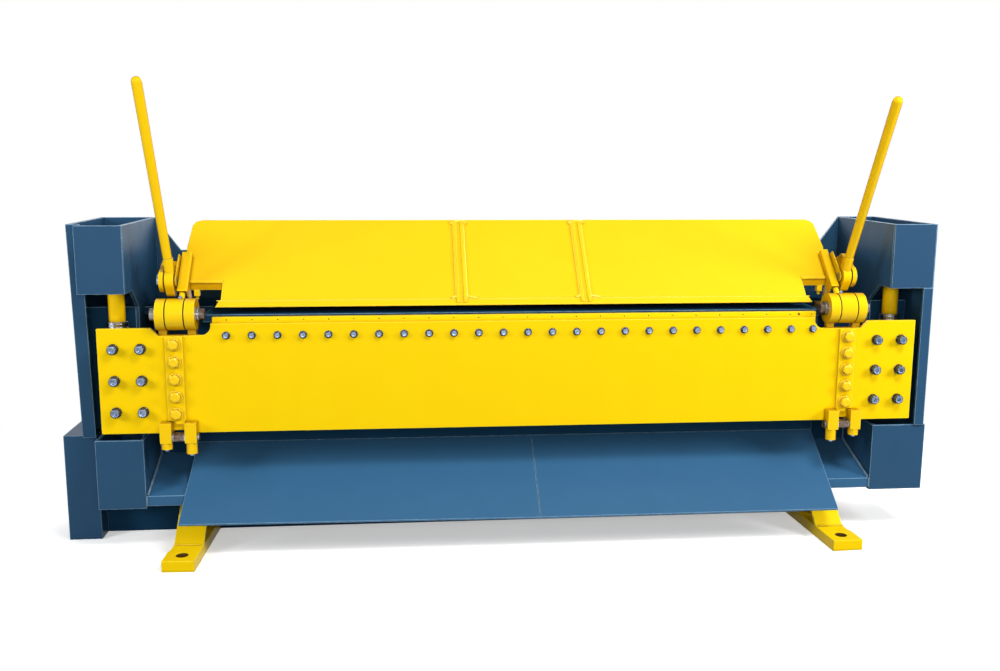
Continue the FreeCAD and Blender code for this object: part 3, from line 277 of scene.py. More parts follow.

# %% [markdown]
# ## The floor's paint
# The photograph is a cut-out on white. A plain pale floor that fades to white a few
# steps away from the machine gives the same look and keeps a soft shadow under it.
# The extra brightness comes from Light Path's Is Camera Ray, so it adds no light to the
# machine. Inside the two bolt holes the floor loses that brightness and is painted dark brown
# as painted shade.

# %% Floor material
FLOOR_PALE, FLOOR_UNSEEN = (0.92, 0.92, 0.92), (0.2, 0.2, 0.2)
# Dark brown painted shade for the floor at the bottom of the bolt holes.
HOLE_BOTTOM_SHADE = (0.06, 0.035, 0.012)
FLOOR_GLOW = 0.42
FADE_START, FADE_END = 2.1, 3.6

floor_paint, tree = new_material("studio_floor")
reach = add(tree, "ShaderNodeVectorMath", operation="LENGTH")
tree.links.new(add(tree, "ShaderNodeTexCoord").outputs["Object"], reach.inputs[0])
far_away = span(tree, reach.outputs["Value"], FADE_START, FADE_END)
# In the bolt holes the floor loses its extra brightness and is painted dark: painted shade.
hole_mask = place_group(tree, bolt_hole, Radius=0.026, Softness=0.01).outputs["Mask"]
outside_hole = combine(tree, "SUBTRACT", 1.0, hole_mask)

quiet = add(tree, "ShaderNodeBsdfDiffuse")
quiet.inputs["Color"].default_value = (*FLOOR_UNSEEN, 1)
bright = add(tree, "ShaderNodeBsdfDiffuse")
dark, pale = colour_node(tree, HOLE_BOTTOM_SHADE), colour_node(tree, FLOOR_PALE)
tree.links.new(blend_colour(tree, outside_hole, dark, pale), bright.inputs["Color"])
glow = add(tree, "ShaderNodeEmission")
tree.links.new(times(tree, outside_hole, FLOOR_GLOW), glow.inputs["Strength"])
near = add(tree, "ShaderNodeAddShader")
tree.links.new(bright.outputs[0], near.inputs[0])
tree.links.new(glow.outputs[0], near.inputs[1])
white = add(tree, "ShaderNodeEmission")

fade = add(tree, "ShaderNodeMixShader")
pick = add(tree, "ShaderNodeMixShader")
for shader, factor, first, second in ((fade, far_away, near, white),
                                      (pick, seen_directly(tree), quiet, fade)):
    tree.links.new(factor, shader.inputs[0])
    tree.links.new(first.outputs[0], shader.inputs[1])
    tree.links.new(second.outputs[0], shader.inputs[2])
output = add(tree, "ShaderNodeOutputMaterial")
tree.links.new(pick.outputs[0], output.inputs[0])
print("floor material with", len(tree.nodes), "nodes")

# %% [markdown]
# ## Floor and background
# The floor is one large square, and it isn't part of the machine. The world is white where the
# camera sees it, also in a mirror or through glass, and only a faint light for everything
# else.

# %% Floor and world
FLOOR_HALF = 30.0
WORLD_LIGHT = 0.13

sheet = bmesh.new()
bmesh.ops.create_grid(sheet, x_segments=1, y_segments=1, size=FLOOR_HALF)
floor_mesh = bpy.data.meshes.new("studio_floor")
sheet.to_mesh(floor_mesh)
sheet.free()
floor_mesh.materials.append(floor_paint)
floor = bpy.data.objects.new("studio_floor", floor_mesh)
bpy.context.scene.collection.objects.link(floor)

world = bpy.data.worlds.new("studio_world")
bpy.context.scene.world = world
world.use_nodes = True
tree = world.node_tree
tree.nodes.clear()
sky = add(tree, "ShaderNodeBackground")
sky.inputs["Color"].default_value = (1, 1, 1, 1)
brightness = span(tree, seen_directly(tree), 0.0, 1.0, WORLD_LIGHT, 1.0)
tree.links.new(brightness, sky.inputs["Strength"])
tree.links.new(sky.outputs[0], add(tree, "ShaderNodeOutputWorld").inputs[0])
print("floor and world ready, world light", WORLD_LIGHT)

# %% [markdown]
# ## Lamps
# Big area lamps stand in for studio soft boxes. The main one is high in front, one
# behind the camera keeps the front faces at about the colour they are painted, and
# one at each side reaches the inner sides of the stands. The last one is behind, for
# the views from the back.

# %% Lamps
def soft_box(name, place, target, size, watts):
    lamp = bpy.data.lights.new(name, "AREA")
    lamp.shape = "RECTANGLE"
    lamp.size, lamp.size_y = size
    lamp.energy = watts
    holder = bpy.data.objects.new(name, lamp)
    bpy.context.scene.collection.objects.link(holder)
    holder.location = place
    way = Vector(target) - Vector(place)
    holder.rotation_euler = way.to_track_quat("-Z", "Y").to_euler()
    print(name, watts, "W")


soft_box("main_soft_box", (1.7, -2.7, 5.2), (0, 0.2, 0.8), (1.7, 1.0), 180)
soft_box("front_soft_box", (-0.4, -6.5, 2.4), (0, 0.2, 0.7), (4.0, 1.6), 150)
soft_box("right_soft_box", (4.4, -1.8, 2.4), (-0.6, 0.1, 0.9), (1.2, 1.6), 125)
soft_box("left_soft_box", (-4.4, -1.8, 2.4), (0.6, 0.1, 0.9), (1.2, 1.6), 90)
soft_box("back_soft_box", (0.5, 4.8, 3.4), (0, 0.3, 0.8), (4.0, 2.0), 170)
bpy.context.scene.view_settings.view_transform = "Standard"

# %% [markdown]
# ## Shared effects as node groups
# Neither paint nor steel is ever one flat colour. Six effects make them up, and each is a node
# group that is built once: the skin of the enamel, the way edges catch light, with a mask for
# a painted highlight, dust on upward faces, the fine lines that a tool leaves in metal, dirt
# and painted shade in creases, and painted shade on undersides. The next cells build them one
# by one.

# %% [markdown]
# ## The enamel's skin
# Sprayed enamel dries with a fine dimple called orange peel, and its colour drifts a
# little from one place to the next where the coat is thinner. Large soft noise moves
# the colour, stretched noise makes faint runs down the plate, and small noise makes
# the dimple. An image of paint would repeat; noise in object space never does.

# %% Group: enamel skin
PATCH_SHARE, RUN_SHARE = 0.62, 0.38
RUN_STRETCH = (9.0, 9.0, 0.7)
enamel_skin, start, end = new_group(
    "enamel skin",
    [("Colour", COLOUR, (0.8, 0.8, 0.8, 1)), ("Thin Colour", COLOUR, (0.5, 0.5, 0.5, 1)),
     ("Patch Size", FLOAT, 1.6), ("Peel Size", FLOAT, 420.0),
     ("Gloss Low", FLOAT, 0.24), ("Gloss High", FLOAT, 0.4)],
    [("Colour", COLOUR), ("Roughness", FLOAT), ("Height", FLOAT)])
g = enamel_skin
place = add(g, "ShaderNodeTexCoord").outputs["Object"]
squeeze = add(g, "ShaderNodeMapping")
squeeze.inputs["Scale"].default_value = RUN_STRETCH
g.links.new(place, squeeze.inputs["Vector"])
patches = span(g, noise_at(g, place, start.outputs["Patch Size"], 2.0), 0.2, 0.8)
runs = span(g, noise_at(g, squeeze.outputs[0], 1.3, 2.0), 0.2, 0.8)
thinness = combine(g, "ADD", times(g, patches, PATCH_SHARE), times(g, runs, RUN_SHARE))
coat = blend_colour(g, thinness, start.outputs["Colour"], start.outputs["Thin Colour"])
g.links.new(coat, end.inputs["Colour"])
gloss_low, gloss_high = start.outputs["Gloss Low"], start.outputs["Gloss High"]
cloud = span(g, noise_at(g, place, 11.0, 3.0), 0.15, 0.85, gloss_low, gloss_high)
g.links.new(cloud, end.inputs["Roughness"])
peel = noise_at(g, place, start.outputs["Peel Size"], 2.0)
waves = times(g, noise_at(g, place, 26.0, 2.0), 1.6)
g.links.new(combine(g, "ADD", peel, waves), end.inputs["Height"])
print("group", enamel_skin.name, "with", len(enamel_skin.nodes), "nodes")

# %% [markdown]
# ## Edges that catch light
# Every plate edge on the machine is slightly rounded and shows as a thin bright line.
# Cycles' Bevel node gives the direction a rounded edge would face without changing the mesh.
# Comparing it with the plain direction also gives a mask of the edges, where the enamels paint
# a lighter colour as a painted highlight.
# Modelling each round would need thousands of faces on plates that are otherwise flat.

# %% Group: edge light
edge_light, start, end = new_group(
    "edge light", [("Radius", FLOAT, 0.003), ("Breakup", FLOAT, 0.5)],
    [("Mask", FLOAT), ("Normal", VECTOR)])
g = edge_light
bevel = add(g, "ShaderNodeBevel", samples=8)
g.links.new(start.outputs["Radius"], bevel.inputs["Radius"])
dot = add(g, "ShaderNodeVectorMath", operation="DOT_PRODUCT")
g.links.new(bevel.outputs[0], dot.inputs[0])
g.links.new(add(g, "ShaderNodeNewGeometry").outputs["Normal"], dot.inputs[1])
bend = span(g, dot.outputs["Value"], 1.0, 0.95)
place = add(g, "ShaderNodeTexCoord").outputs["Object"]
highlight_breakup = span(g, noise_at(g, place, 60.0, 4.0), 0.3, 0.62)
least = combine(g, "SUBTRACT", 1.0, start.outputs["Breakup"])
keep = span(g, highlight_breakup, 0.0, 1.0, least, 1.0)
g.links.new(times(g, bend, keep), end.inputs["Mask"])
g.links.new(bevel.outputs[0], end.inputs["Normal"])
print("group", edge_light.name, "with", len(edge_light.nodes), "nodes")

# %% [markdown]
# ## Dust on upward faces
# A workshop leaves a pale film on everything that looks up. The object's own normal
# says which way a face looks, and noise breaks the film into patches, so the film
# stays where it is when a lever or the leaf is swung.

# %% Group: settled dust
settled_dust, start, end = new_group(
    "settled dust", [("Amount", FLOAT, 0.3), ("Patch Size", FLOAT, 7.0)],
    [("Mask", FLOAT)])
g = settled_dust
where = add(g, "ShaderNodeTexCoord")
split = add(g, "ShaderNodeSeparateXYZ")
g.links.new(where.outputs["Normal"], split.inputs[0])
upward = span(g, split.outputs["Z"], 0.35, 0.95)
cloud = noise_at(g, where.outputs["Object"], start.outputs["Patch Size"], 6.0, 0.65)
patch = span(g, cloud, 0.3, 0.72, 0.25, 1.0)
g.links.new(times(g, times(g, upward, patch), start.outputs["Amount"]), end.inputs["Mask"])
print("group", settled_dust.name, "with", len(settled_dust.nodes), "nodes")

# %% [markdown]
# ## Tool lines in metal
# A lathe leaves rings round a pin and a file leaves straight strokes. Both are noise
# that is squeezed hard in one direction. The stretch is an input, so the same group
# serves bolts, pins and the chromed gland.

# %% Group: tool lines
tool_lines, start, end = new_group(
    "tool lines",
    [("Stretch", VECTOR, (900.0, 40.0, 40.0)), ("Spread", FLOAT, 0.12),
     ("Middle", FLOAT, 0.3)],
    [("Roughness", FLOAT), ("Height", FLOAT)])
g = tool_lines
pull = add(g, "ShaderNodeVectorMath", operation="MULTIPLY")
g.links.new(add(g, "ShaderNodeTexCoord").outputs["Object"], pull.inputs[0])
g.links.new(start.outputs["Stretch"], pull.inputs[1])
lines = noise_at(g, pull.outputs[0], 1.0, 3.0, 0.6)
g.links.new(lines, end.inputs["Height"])
low = combine(g, "SUBTRACT", start.outputs["Middle"], start.outputs["Spread"])
high = combine(g, "ADD", start.outputs["Middle"], start.outputs["Spread"])
g.links.new(span(g, lines, 0.3, 0.7, low, high), end.inputs["Roughness"])
print("group", tool_lines.name, "with", len(tool_lines.nodes), "nodes")

# %% [markdown]
# ## Dirt and painted shade in creases
# Where a bolt, strap or rib sits on a plate, its corner is painted with a thin dark line, for
# dirt and as painted shade, and it is what makes small parts read from far away. The Ambient
# Occlusion node looks round each point for near surfaces, within a distance of about a
# centimetre here, so the mask needs no painting by hand.

# %% Group: dirt and painted shade in creases
crease_grime, start, end = new_group(
    "grime in creases", [("Distance", FLOAT, 0.012), ("Amount", FLOAT, 0.6)],
    [("Mask", FLOAT)])
g = crease_grime
# Points shut in by near surfaces are painted darker: dirt and painted shade.
around = add(g, "ShaderNodeAmbientOcclusion", samples=6)
g.links.new(start.outputs["Distance"], around.inputs["Distance"])
shut_in = span(g, around.outputs["AO"], 0.95, 0.30)
g.links.new(times(g, shut_in, start.outputs["Amount"]), end.inputs["Mask"])
print("group", crease_grime.name, "with", len(crease_grime.nodes), "nodes")

# %% [markdown]
# ## Painted shade on undersides
# The lower half of every bolt head is painted nearly black as painted shade, while the upper
# half keeps its own colour. The object's own normal says which half a face belongs to, and a
# little noise keeps the border from being sharp.

# %% Group: painted shade on undersides
underside_shade_group, start, end = new_group(
    "painted shade on undersides", [("Amount", FLOAT, 0.8)], [("Mask", FLOAT)])
g = underside_shade_group
where = add(g, "ShaderNodeTexCoord")
split = add(g, "ShaderNodeSeparateXYZ")
g.links.new(where.outputs["Normal"], split.inputs[0])
cloud = noise_at(g, where.outputs["Object"], 150.0, 3.0)
ragged = span(g, cloud, 0.3, 0.7, -0.12, 0.12)
# Downward faces are painted nearly black: painted shade.
low_side = span(g, combine(g, "ADD", split.outputs["Z"], ragged), 0.45, -0.35)
g.links.new(times(g, low_side, start.outputs["Amount"]), end.inputs["Mask"])
print("group", underside_shade_group.name, "with", len(underside_shade_group.nodes), "nodes")

# %% [markdown]
# ## One recipe for all enamels
# All enamels share one recipe with their own values: the skin gives the colour, the roughness
# and the dimple, edges get a rounded normal and a lighter colour as a painted highlight, dust
# is laid on top, and creases are darkened for dirt and as painted shade. How strongly the
# enamel mirrors is one plain number on the shader. Round pieces are painted darker where they
# turn away from the camera, as painted shade, and Layer Weight's Facing gives that rim.

# %% Enamel recipe
# RIM_SHADE and CREASE_SHADE scale a colour down for painted shade at rims and in creases.
RIM_SHADE, CREASE_SHADE = (0.5, 0.36, 0.3), (0.22, 0.15, 0.15)
# Dark brown for the bolt holes' walls: bare dirty steel and painted shade.
HOLE_DIRT_AND_SHADE = (0.10, 0.050, 0.010)
PEEL_DEPTH = 0.00004
DUST_DULLS = 0.5


def darker(colour, shade):
    return [part * factor for part, factor in zip(colour, shade)]


def enamel(name, colour, thin, edge, dust, dust_amount, shine, radius=0.0045,
           gloss=(0.26, 0.38), holes=False, grime=0.6, reach=0.012, rim=0.0):
    material, tree = new_material(name)
    shader = add(tree, "ShaderNodeBsdfPrincipled")
    skin = place_group(tree, enamel_skin, Colour=(*colour, 1), Thin_Colour=(*thin, 1),
                       Gloss_Low=gloss[0], Gloss_High=gloss[1])
    edges = place_group(tree, edge_light, Radius=radius)
    film = place_group(tree, settled_dust, Amount=dust_amount).outputs["Mask"]
    # Edges are painted a lighter colour as a painted highlight.
    coat_and_painted_light = lay_over(tree, edges.outputs["Mask"], skin.outputs["Colour"], edge)
    coat_and_painted_light = lay_over(tree, film, coat_and_painted_light, dust)
    # Round pieces are painted darker where they turn away from the camera: painted shade.
    if rim:
        weight = add(tree, "ShaderNodeLayerWeight")
        weight.inputs["Blend"].default_value = 0.5
        turned = times(tree, span(tree, weight.outputs["Facing"], 0.3, 0.9), rim)
        coat_and_painted_light = lay_over(tree, turned, coat_and_painted_light, darker(colour, RIM_SHADE))
    # Creases are painted darker, for dirt and as painted shade.
    corner = place_group(tree, crease_grime, Amount=grime, Distance=reach).outputs["Mask"]
    coat_and_painted_light = lay_over(tree, corner, coat_and_painted_light, darker(colour, CREASE_SHADE))
    # The bolt hole's wall is painted dark brown, for bare dirty steel and as painted shade.
    if holes:
        in_hole = place_group(tree, bolt_hole).outputs["Mask"]
        coat_and_painted_light = lay_over(tree, in_hole, coat_and_painted_light, HOLE_DIRT_AND_SHADE)
    tree.links.new(coat_and_painted_light, shader.inputs["Base Color"])
    rough = combine(tree, "ADD", skin.outputs["Roughness"], times(tree, film, DUST_DULLS))
    tree.links.new(rough, shader.inputs["Roughness"])
    shader.inputs["Specular IOR Level"].default_value = shine
    surface(tree, shader, skin.outputs["Height"], edges.outputs["Normal"], PEEL_DEPTH)
    print("material", name)
    return material


print("enamel recipe ready")

# %% [markdown]
# ## Yellow enamels
# The big plates, the feet and the clamp beam's face differ only a little; the face's copy is a
# little more orange, as painted shade, with a touch of blue, as painted reflection. The small
# round parts were painted apart from them, in a slightly warmer and glossier batch, and get
# painted shade at their turned-away rims and in their creases. The webs at the ends of the
# beam are painted a much darker yellow as painted shade.

# %% Yellow enamels
LARGE, LARGE_THIN = (0.96, 0.67, 0.002), (0.96, 0.62, 0.0015)
# Round parts get painted shade at turned-away rims and in creases.
ROUND_PARTS = {"radius": 0.003, "grime": 0.9, "reach": 0.02, "rim": 1.0}


def yellow(name, colour, thin, shine, dust_amount=0.04, **more):
    # The edge colour is a painted highlight; the dust colour is real dust.
    edge, dust = (1.0, 0.80, 0.05), (0.9, 0.66, 0.06)
    return enamel(name, colour, thin, edge, dust, dust_amount, shine, **more)


yellow_enamel = yellow("yellow_enamel", LARGE, LARGE_THIN, 0.08)
foot_enamel = yellow("foot_enamel", LARGE, LARGE_THIN, 0.08, holes=True)
# The clamp beam's face is painted a little more orange as painted shade, with a touch of blue
# as painted reflection.
beam_enamel = yellow("beam_yellow_enamel", (0.96, 0.62, 0.010), (0.96, 0.575, 0.007), 0.08)
warm_enamel = yellow("warm_yellow_enamel", (0.95, 0.62, 0.0015), (0.94, 0.57, 0.0012),
                     0.12, gloss=(0.14, 0.22), **ROUND_PARTS)
glossy_enamel = yellow("glossy_yellow_enamel", (0.95, 0.63, 0.002), (0.95, 0.58, 0.0015),
                       0.14, gloss=(0.12, 0.2), **ROUND_PARTS)
# The end webs of the beam are painted a much darker yellow as painted shade.
painted_shade_yellow = yellow("painted_shade_yellow_enamel", (0.66, 0.37, 0.001), (0.60, 0.32, 0.001), 0.05)

# %% [markdown]
# ## Blue enamels
# The stands have the plain blue. The upper boxes are a little deeper and shinier, the sloping
# chute and its aprons are painted a lighter blue as painted light, and the plates behind and
# under the leaf are painted a darker, matt blue as painted shade.

# %% Blue enamels
def blue(name, colour, thin, shine, dust_amount=0.08, **more):
    # The edge colour is a painted highlight; the dust colour is real dust.
    edge, dust = (0.24, 0.40, 0.55), (0.07, 0.13, 0.2)
    return enamel(name, colour, thin, edge, dust, dust_amount, shine, **more)


blue_enamel = blue("blue_enamel", (0.024, 0.080, 0.162), (0.019, 0.069, 0.142), 0.12)
box_enamel = blue("box_blue_enamel", (0.018, 0.070, 0.150), (0.014, 0.061, 0.131),
                  0.22, gloss=(0.3, 0.42))
# The chute and its aprons are painted a lighter blue as painted light.
lit_chute_enamel = blue("lit_chute_enamel", (0.037, 0.128, 0.258), (0.032, 0.114, 0.230),
                    0.12, 0.06)
# Plates behind and under the leaf are painted a darker, matt blue as painted shade.
shaded_enamel = blue("shaded_blue_enamel", (0.012, 0.052, 0.110), (0.008, 0.040, 0.086),
                     0.0, 0.05, gloss=(0.45, 0.6))

# %% [markdown]
# ## Enamel on weld beads
# The beads' enamels are glossier than the plates'. On the blue frame and the clamp beam they
# are also painted much lighter, as a painted highlight, so a bead shows as a bright line
# beside the flat plate. The yellow of the hinge bolts and of the feet's beads is glossy too
# but not lightened; it is darkened strongly under the heads and where round sides turn away,
# as painted shade.

# %% Enamels for beads and painted bolts
# The blue beads are painted much lighter than the plate as a painted highlight.
highlight_blue_weld = blue("blue_weld_enamel", (0.10, 0.195, 0.290), (0.065, 0.140, 0.225),
                 0.5, 0.1, radius=0.001, gloss=(0.18, 0.3))
# The clamp beam's beads are painted lighter than its face as a painted highlight.
highlight_yellow_weld = yellow("bright_yellow_weld_enamel", (1.0, 0.76, 0.035), (0.96, 0.68, 0.012),
                     0.5, 0.05, radius=0.001, gloss=(0.12, 0.2), grime=0.25)
# This yellow is darkened strongly in creases and at turned-away rims: painted shade.
yellow_weld = yellow("yellow_weld_enamel", (0.95, 0.64, 0.002), (0.93, 0.58, 0.0015),
                     0.25, 0.05, radius=0.0012, gloss=(0.12, 0.2), grime=1.0,
                     reach=0.024, rim=1.0)

# %% [markdown]
# ## One recipe for bare metal
# Tool lines from the shared group give the metal its grain, and stains darken it in places.
# The underside can be painted nearly black as painted shade, and a film of grease can darken
# the metal and dull its shine. The ends of the hinge pins that stick out on the outer side are
# wiped clean, so the film can be kept to the part inside a given distance.

# %% Metal recipe
MIDDLE_X = DRAWING_SHIFT.x / 1000.0
# Nearly black for painted shade on undersides; brown for real grease.
UNDERSIDE_SHADE_BLACK, GREASE_BROWN = (0.012, 0.014, 0.020), (0.095, 0.042, 0.010)
STAIN_STRENGTH, GREASE_DULLS = 0.7, 0.55
WIPED_BORDER = 0.004
LINE_DEPTH = 0.00003


def metal(name, colour, dark, stretch, middle, spread, grease=0.0, greased_to=None,
          underside_shade=0.0):
    material, tree = new_material(name)
    shader = add(tree, "ShaderNodeBsdfPrincipled")
    lines = place_group(tree, tool_lines, Stretch=stretch, Middle=middle, Spread=spread)
    edges = place_group(tree, edge_light, Radius=0.0012, Breakup=0.2)
    place = add(tree, "ShaderNodeTexCoord").outputs["Object"]
    stain = span(tree, noise_at(tree, place, 38.0, 5.0, 0.65), 0.42, 0.68)
    mixed = lay_over(tree, times(tree, stain, STAIN_STRENGTH), colour_node(tree, colour), dark)
    # The underside is painted nearly black as painted shade.
    if underside_shade:
        underside_shade_mask = place_group(tree, underside_shade_group, Amount=underside_shade).outputs["Mask"]
        mixed = lay_over(tree, underside_shade_mask, mixed, UNDERSIDE_SHADE_BLACK)
    film = span(tree, noise_at(tree, place, 70.0, 4.0, 0.6), 0.28, 0.6)
    if greased_to:
        parts = add(tree, "ShaderNodeSeparateXYZ")
        tree.links.new(place, parts.inputs[0])
        from_middle = combine(tree, "SUBTRACT", parts.outputs["X"], MIDDLE_X)
        out = combine(tree, "ABSOLUTE", from_middle, 0.0)
        wiped = greased_to + WIPED_BORDER
        film = times(tree, film, span(tree, out, greased_to, wiped, 1.0, 0.0))
    greased = lay_over(tree, times(tree, film, grease), mixed, GREASE_BROWN)
    tree.links.new(greased, shader.inputs["Base Color"])
    tree.links.new(lines.outputs["Roughness"], shader.inputs["Roughness"])
    bare = combine(tree, "SUBTRACT", 1.0, times(tree, film, grease * GREASE_DULLS))
    tree.links.new(bare, shader.inputs["Metallic"])
    surface(tree, shader, lines.outputs["Height"], edges.outputs["Normal"], LINE_DEPTH)
    print("material", name)
    return material


print("metal recipe ready")

# %% [markdown]
# ## Five metals
# Bolts are blued on the face, and their sides are painted much darker as painted shade,
# darkest on the underside. Washers and grease caps are zinc plated, the glands and piston rods
# are chromed, and the hinge pins and the adjusters' pins carry a brown film of grease. The
# three numbers of the stretch say along which axis the tool lines lie close together.

# %% Metals
zinc_steel = metal("zinc_plated_steel", (0.34, 0.38, 0.45), (0.16, 0.19, 0.24),
                   (160.0, 700.0, 160.0), 0.22, 0.07)
blued_steel = metal("blued_steel", (0.27, 0.335, 0.46), (0.085, 0.115, 0.185),
                    (300.0, 300.0, 300.0), 0.30, 0.08)
# Bolt sides: painted much darker than the faces as painted shade, darkest underneath.
shaded_side_steel = metal("shaded_side_steel", (0.075, 0.092, 0.130), (0.035, 0.045, 0.068),
                    (160.0, 700.0, 160.0), 0.20, 0.06, underside_shade=0.9)
chrome_steel = metal("turned_chrome", (0.50, 0.53, 0.57), (0.24, 0.26, 0.31),
                     (60.0, 60.0, 1400.0), 0.18, 0.06)
greased_steel = metal("greased_steel", (0.24, 0.22, 0.21), (0.11, 0.085, 0.07),
                      (1100.0, 60.0, 60.0), 0.3, 0.1, grease=0.9, greased_to=1.44)

# %% [markdown]
# ## Which finish goes where
# The record names a finish for every node, so the script reads it from there and can't forget
# a piece. Ten groups of nodes then get a closer match to the photograph: chrome on the rods,
# the lighter blue of the chute painted as light, the darker blue inside the bed painted as
# shade, the warmer yellow of small parts that turn or slide, and so on.

# %% Give each node its finish
FINISH = {"yellow_paint": yellow_enamel, "blue_paint": blue_enamel,
          "bright_steel": zinc_steel, "greased_steel": greased_steel}
# Among these, the chute's lighter blue is painted light; the bed's darker blue, the face's
# more orange yellow and the end webs' dark yellow are painted shade.
SPECIAL = (
    (chrome_steel, ("left_piston_rod", "right_piston_rod", "lug_pins")),
    (warm_enamel, ("left_lever", "right_lever", "left_cylinder", "right_cylinder",
                   "adjuster_blocks", "lever_brackets", "rod_guides")),
    (lit_chute_enamel, ("left_chute_panel", "right_chute_panel", "side_aprons")),
    (foot_enamel, ("left_foot", "right_foot")),
    (box_enamel, ("stand_upper_fronts", "stand_inner_plates")),
    (beam_enamel, ("beam_face_plate", "beam_nose_bar", "face_ribs")),
    (shaded_enamel, ("bed_top_plate", "bed_front_web", "bed_rear_web", "bed_ribs",
                     "bed_wall", "floor_beam", "throat_plates", "trunnion_brackets")),
    (glossy_enamel, ("leaf_hinges", "fixed_knuckles")),
    (blued_steel, ("lever_pivot_bolts", "adjuster_screws")),
    (painted_shade_yellow, ("beam_end_webs",)))
special_of = {name: material for material, names in SPECIAL for name in names}
slot_of = {piece["node"]: piece["material_slot"] for piece in frame["record"]["subparts"]}

for name, node in frame["nodes"].items():
    finish = special_of.get(name, FINISH[slot_of[name]])
    if not node.material_slots:
        node.data.materials.append(finish)
    for place in node.material_slots:
        place.material = finish
print("dressed", len(slot_of), "nodes,", len(special_of), "of them specially")

# %% [markdown]
# ## Where the bolts sit
# The construction model already knows where each bolt sits. All bolts of a kind are
# one node there, so its mesh is taken apart into islands of joined faces, and the
# box round each island gives the place.

# %% Islands of a node
def islands(node):
    shape = bmesh.new()
    shape.from_mesh(node.data)
    bmesh.ops.remove_doubles(shape, verts=shape.verts, dist=0.00001)
    left = set(shape.verts)
    boxes = []
    while left:
        group, edge = set(), [left.pop()]
        while edge:
            corner = edge.pop()
            group.add(corner)
            for line in corner.link_edges:
                other = line.other_vert(corner)
                if other in left:
                    left.remove(other)
                    edge.append(other)
        low = Vector(min(v.co[k] for v in group) for k in range(3))
        high = Vector(max(v.co[k] for v in group) for k in range(3))
        boxes.append((low, high))
    shape.free()
    return sorted(boxes, key=lambda pair: tuple(pair[0]))


print("small bolts along the bar:", len(islands(frame["nodes"]["leaf_bar_bolts"])))

# %% [markdown]
# ## Spinning a profile
# A bolt head, a washer and a gland are all made on a lathe: a profile that is spun
# round an axis. The profile here is a list of steps, each with its depth from the
# head's top, its radius, its outline, which is round, a hexagon or a knurl, and the
# number of its paint. Each step becomes a ring of corners, and faces join the rings.

# %% Rings and spinning
KNURL_VALLEY = 0.975


def ring_of(shape, middle, aside, over, radii):
    ring = []
    for k, radius in enumerate(radii):
        angle = math.tau * k / len(radii)
        way = aside * math.cos(angle) + over * math.sin(angle)
        ring.append(shape.verts.new(middle + way * radius))
    return ring


def join_rings(shape, first, second, paint=0):
    for k in range(len(first)):
        after = (k + 1) % len(first)
        face = shape.faces.new((first[k], first[after], second[after], second[k]))
        face.material_index = paint


def outline_radius(outline, radius, k, sides):
    if outline == "hexagon":
        angle = math.tau * k / sides
        return radius / math.cos((angle + math.pi / 6) % (math.pi / 3) - math.pi / 6)
    if outline == "knurl" and k % 2:
        return radius * KNURL_VALLEY
    return radius


def spin(shape, profile, start, into, sides=48):
    into = Vector(into)
    aside = into.orthogonal().normalized()
    over = into.cross(aside)
    last = None
    for depth, radius, outline, paint in profile:
        radii = [outline_radius(outline, radius, k, sides) for k in range(sides)]
        ring = ring_of(shape, start + into * depth, aside, over, radii)
        if last:
            join_rings(shape, last, ring, paint)
        else:
            shape.faces.new(ring).material_index = paint
        last = ring
    shape.faces.new(last).material_index = profile[-1][3]


print("spinning ready")

# %% Finish a piece
SHARP_ANGLE = math.radians(34)


def finish_piece(shape, name, body, materials, stands_for=()):
    bmesh.ops.recalc_face_normals(shape, faces=shape.faces)
    for face in shape.faces:
        face.smooth = True
    mesh = bpy.data.meshes.new(name)
    shape.to_mesh(mesh)
    shape.free()
    mesh.set_sharp_from_angle(angle=SHARP_ANGLE)
    for material in materials:
        mesh.materials.append(material)
    piece = bpy.data.objects.new(name, mesh)
    bpy.context.scene.collection.objects.link(piece)
    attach(piece, body)
    if stands_for:
        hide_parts(*stands_for)
    print(name, "with", len(mesh.polygons), "faces")


print("finishing ready")

# %% [markdown]
# ## Bolts of the folding leaf
# Three kinds are seen: cap screws with a knurled side and a socket at the ends, small
# hexagon bolts along the bar, and big flanged hexagon bolts that were painted over
# with the hinge straps. In each profile the first steps are the recess in the face,
# then the crown, the side, the washer, and last the shank that sits in the plate.

# %% Three kinds of bolt
FACE, SIDE = 0, 1


def steps(paint, outline, *pairs):
    return [(depth, radius, outline, paint) for depth, radius in pairs]


CAP_SCREW = (steps(FACE, "hexagon", (0.0130, 0.0086), (0.0014, 0.0086))
             + steps(FACE, "round", (0.0002, 0.0104), (0.0, 0.0152))
             + steps(SIDE, "round", (0.0009, 0.0172), (0.0026, 0.0185))
             + steps(SIDE, "knurl", (0.0034, 0.0185), (0.0196, 0.0185))
             + steps(SIDE, "round", (0.0204, 0.0185), (0.0214, 0.0176),
                     (0.0232, 0.0176), (0.0234, 0.0206), (0.0244, 0.0214),
                     (0.0280, 0.0214), (0.0280, 0.0120)))
BAR_BOLT = (steps(FACE, "round", (0.0016, 0.0058), (0.0012, 0.0072),
                  (0.0001, 0.0080), (0.0, 0.0102))
            + steps(SIDE, "hexagon", (0.0016, 0.0119), (0.0108, 0.0119))
            + steps(SIDE, "round", (0.0114, 0.0124), (0.0117, 0.0150),
                    (0.0124, 0.0159), (0.0144, 0.0160), (0.0144, 0.0080)))
HINGE_BOLT = (steps(FACE, "round", (0.0004, 0.0080), (0.0, 0.0142), (0.0012, 0.0172))
              + steps(FACE, "hexagon", (0.0038, 0.0194), (0.0176, 0.0195))
              + steps(FACE, "round", (0.0184, 0.0204), (0.0190, 0.0258),
                      (0.0204, 0.0276), (0.0234, 0.0280), (0.0234, 0.0120)))

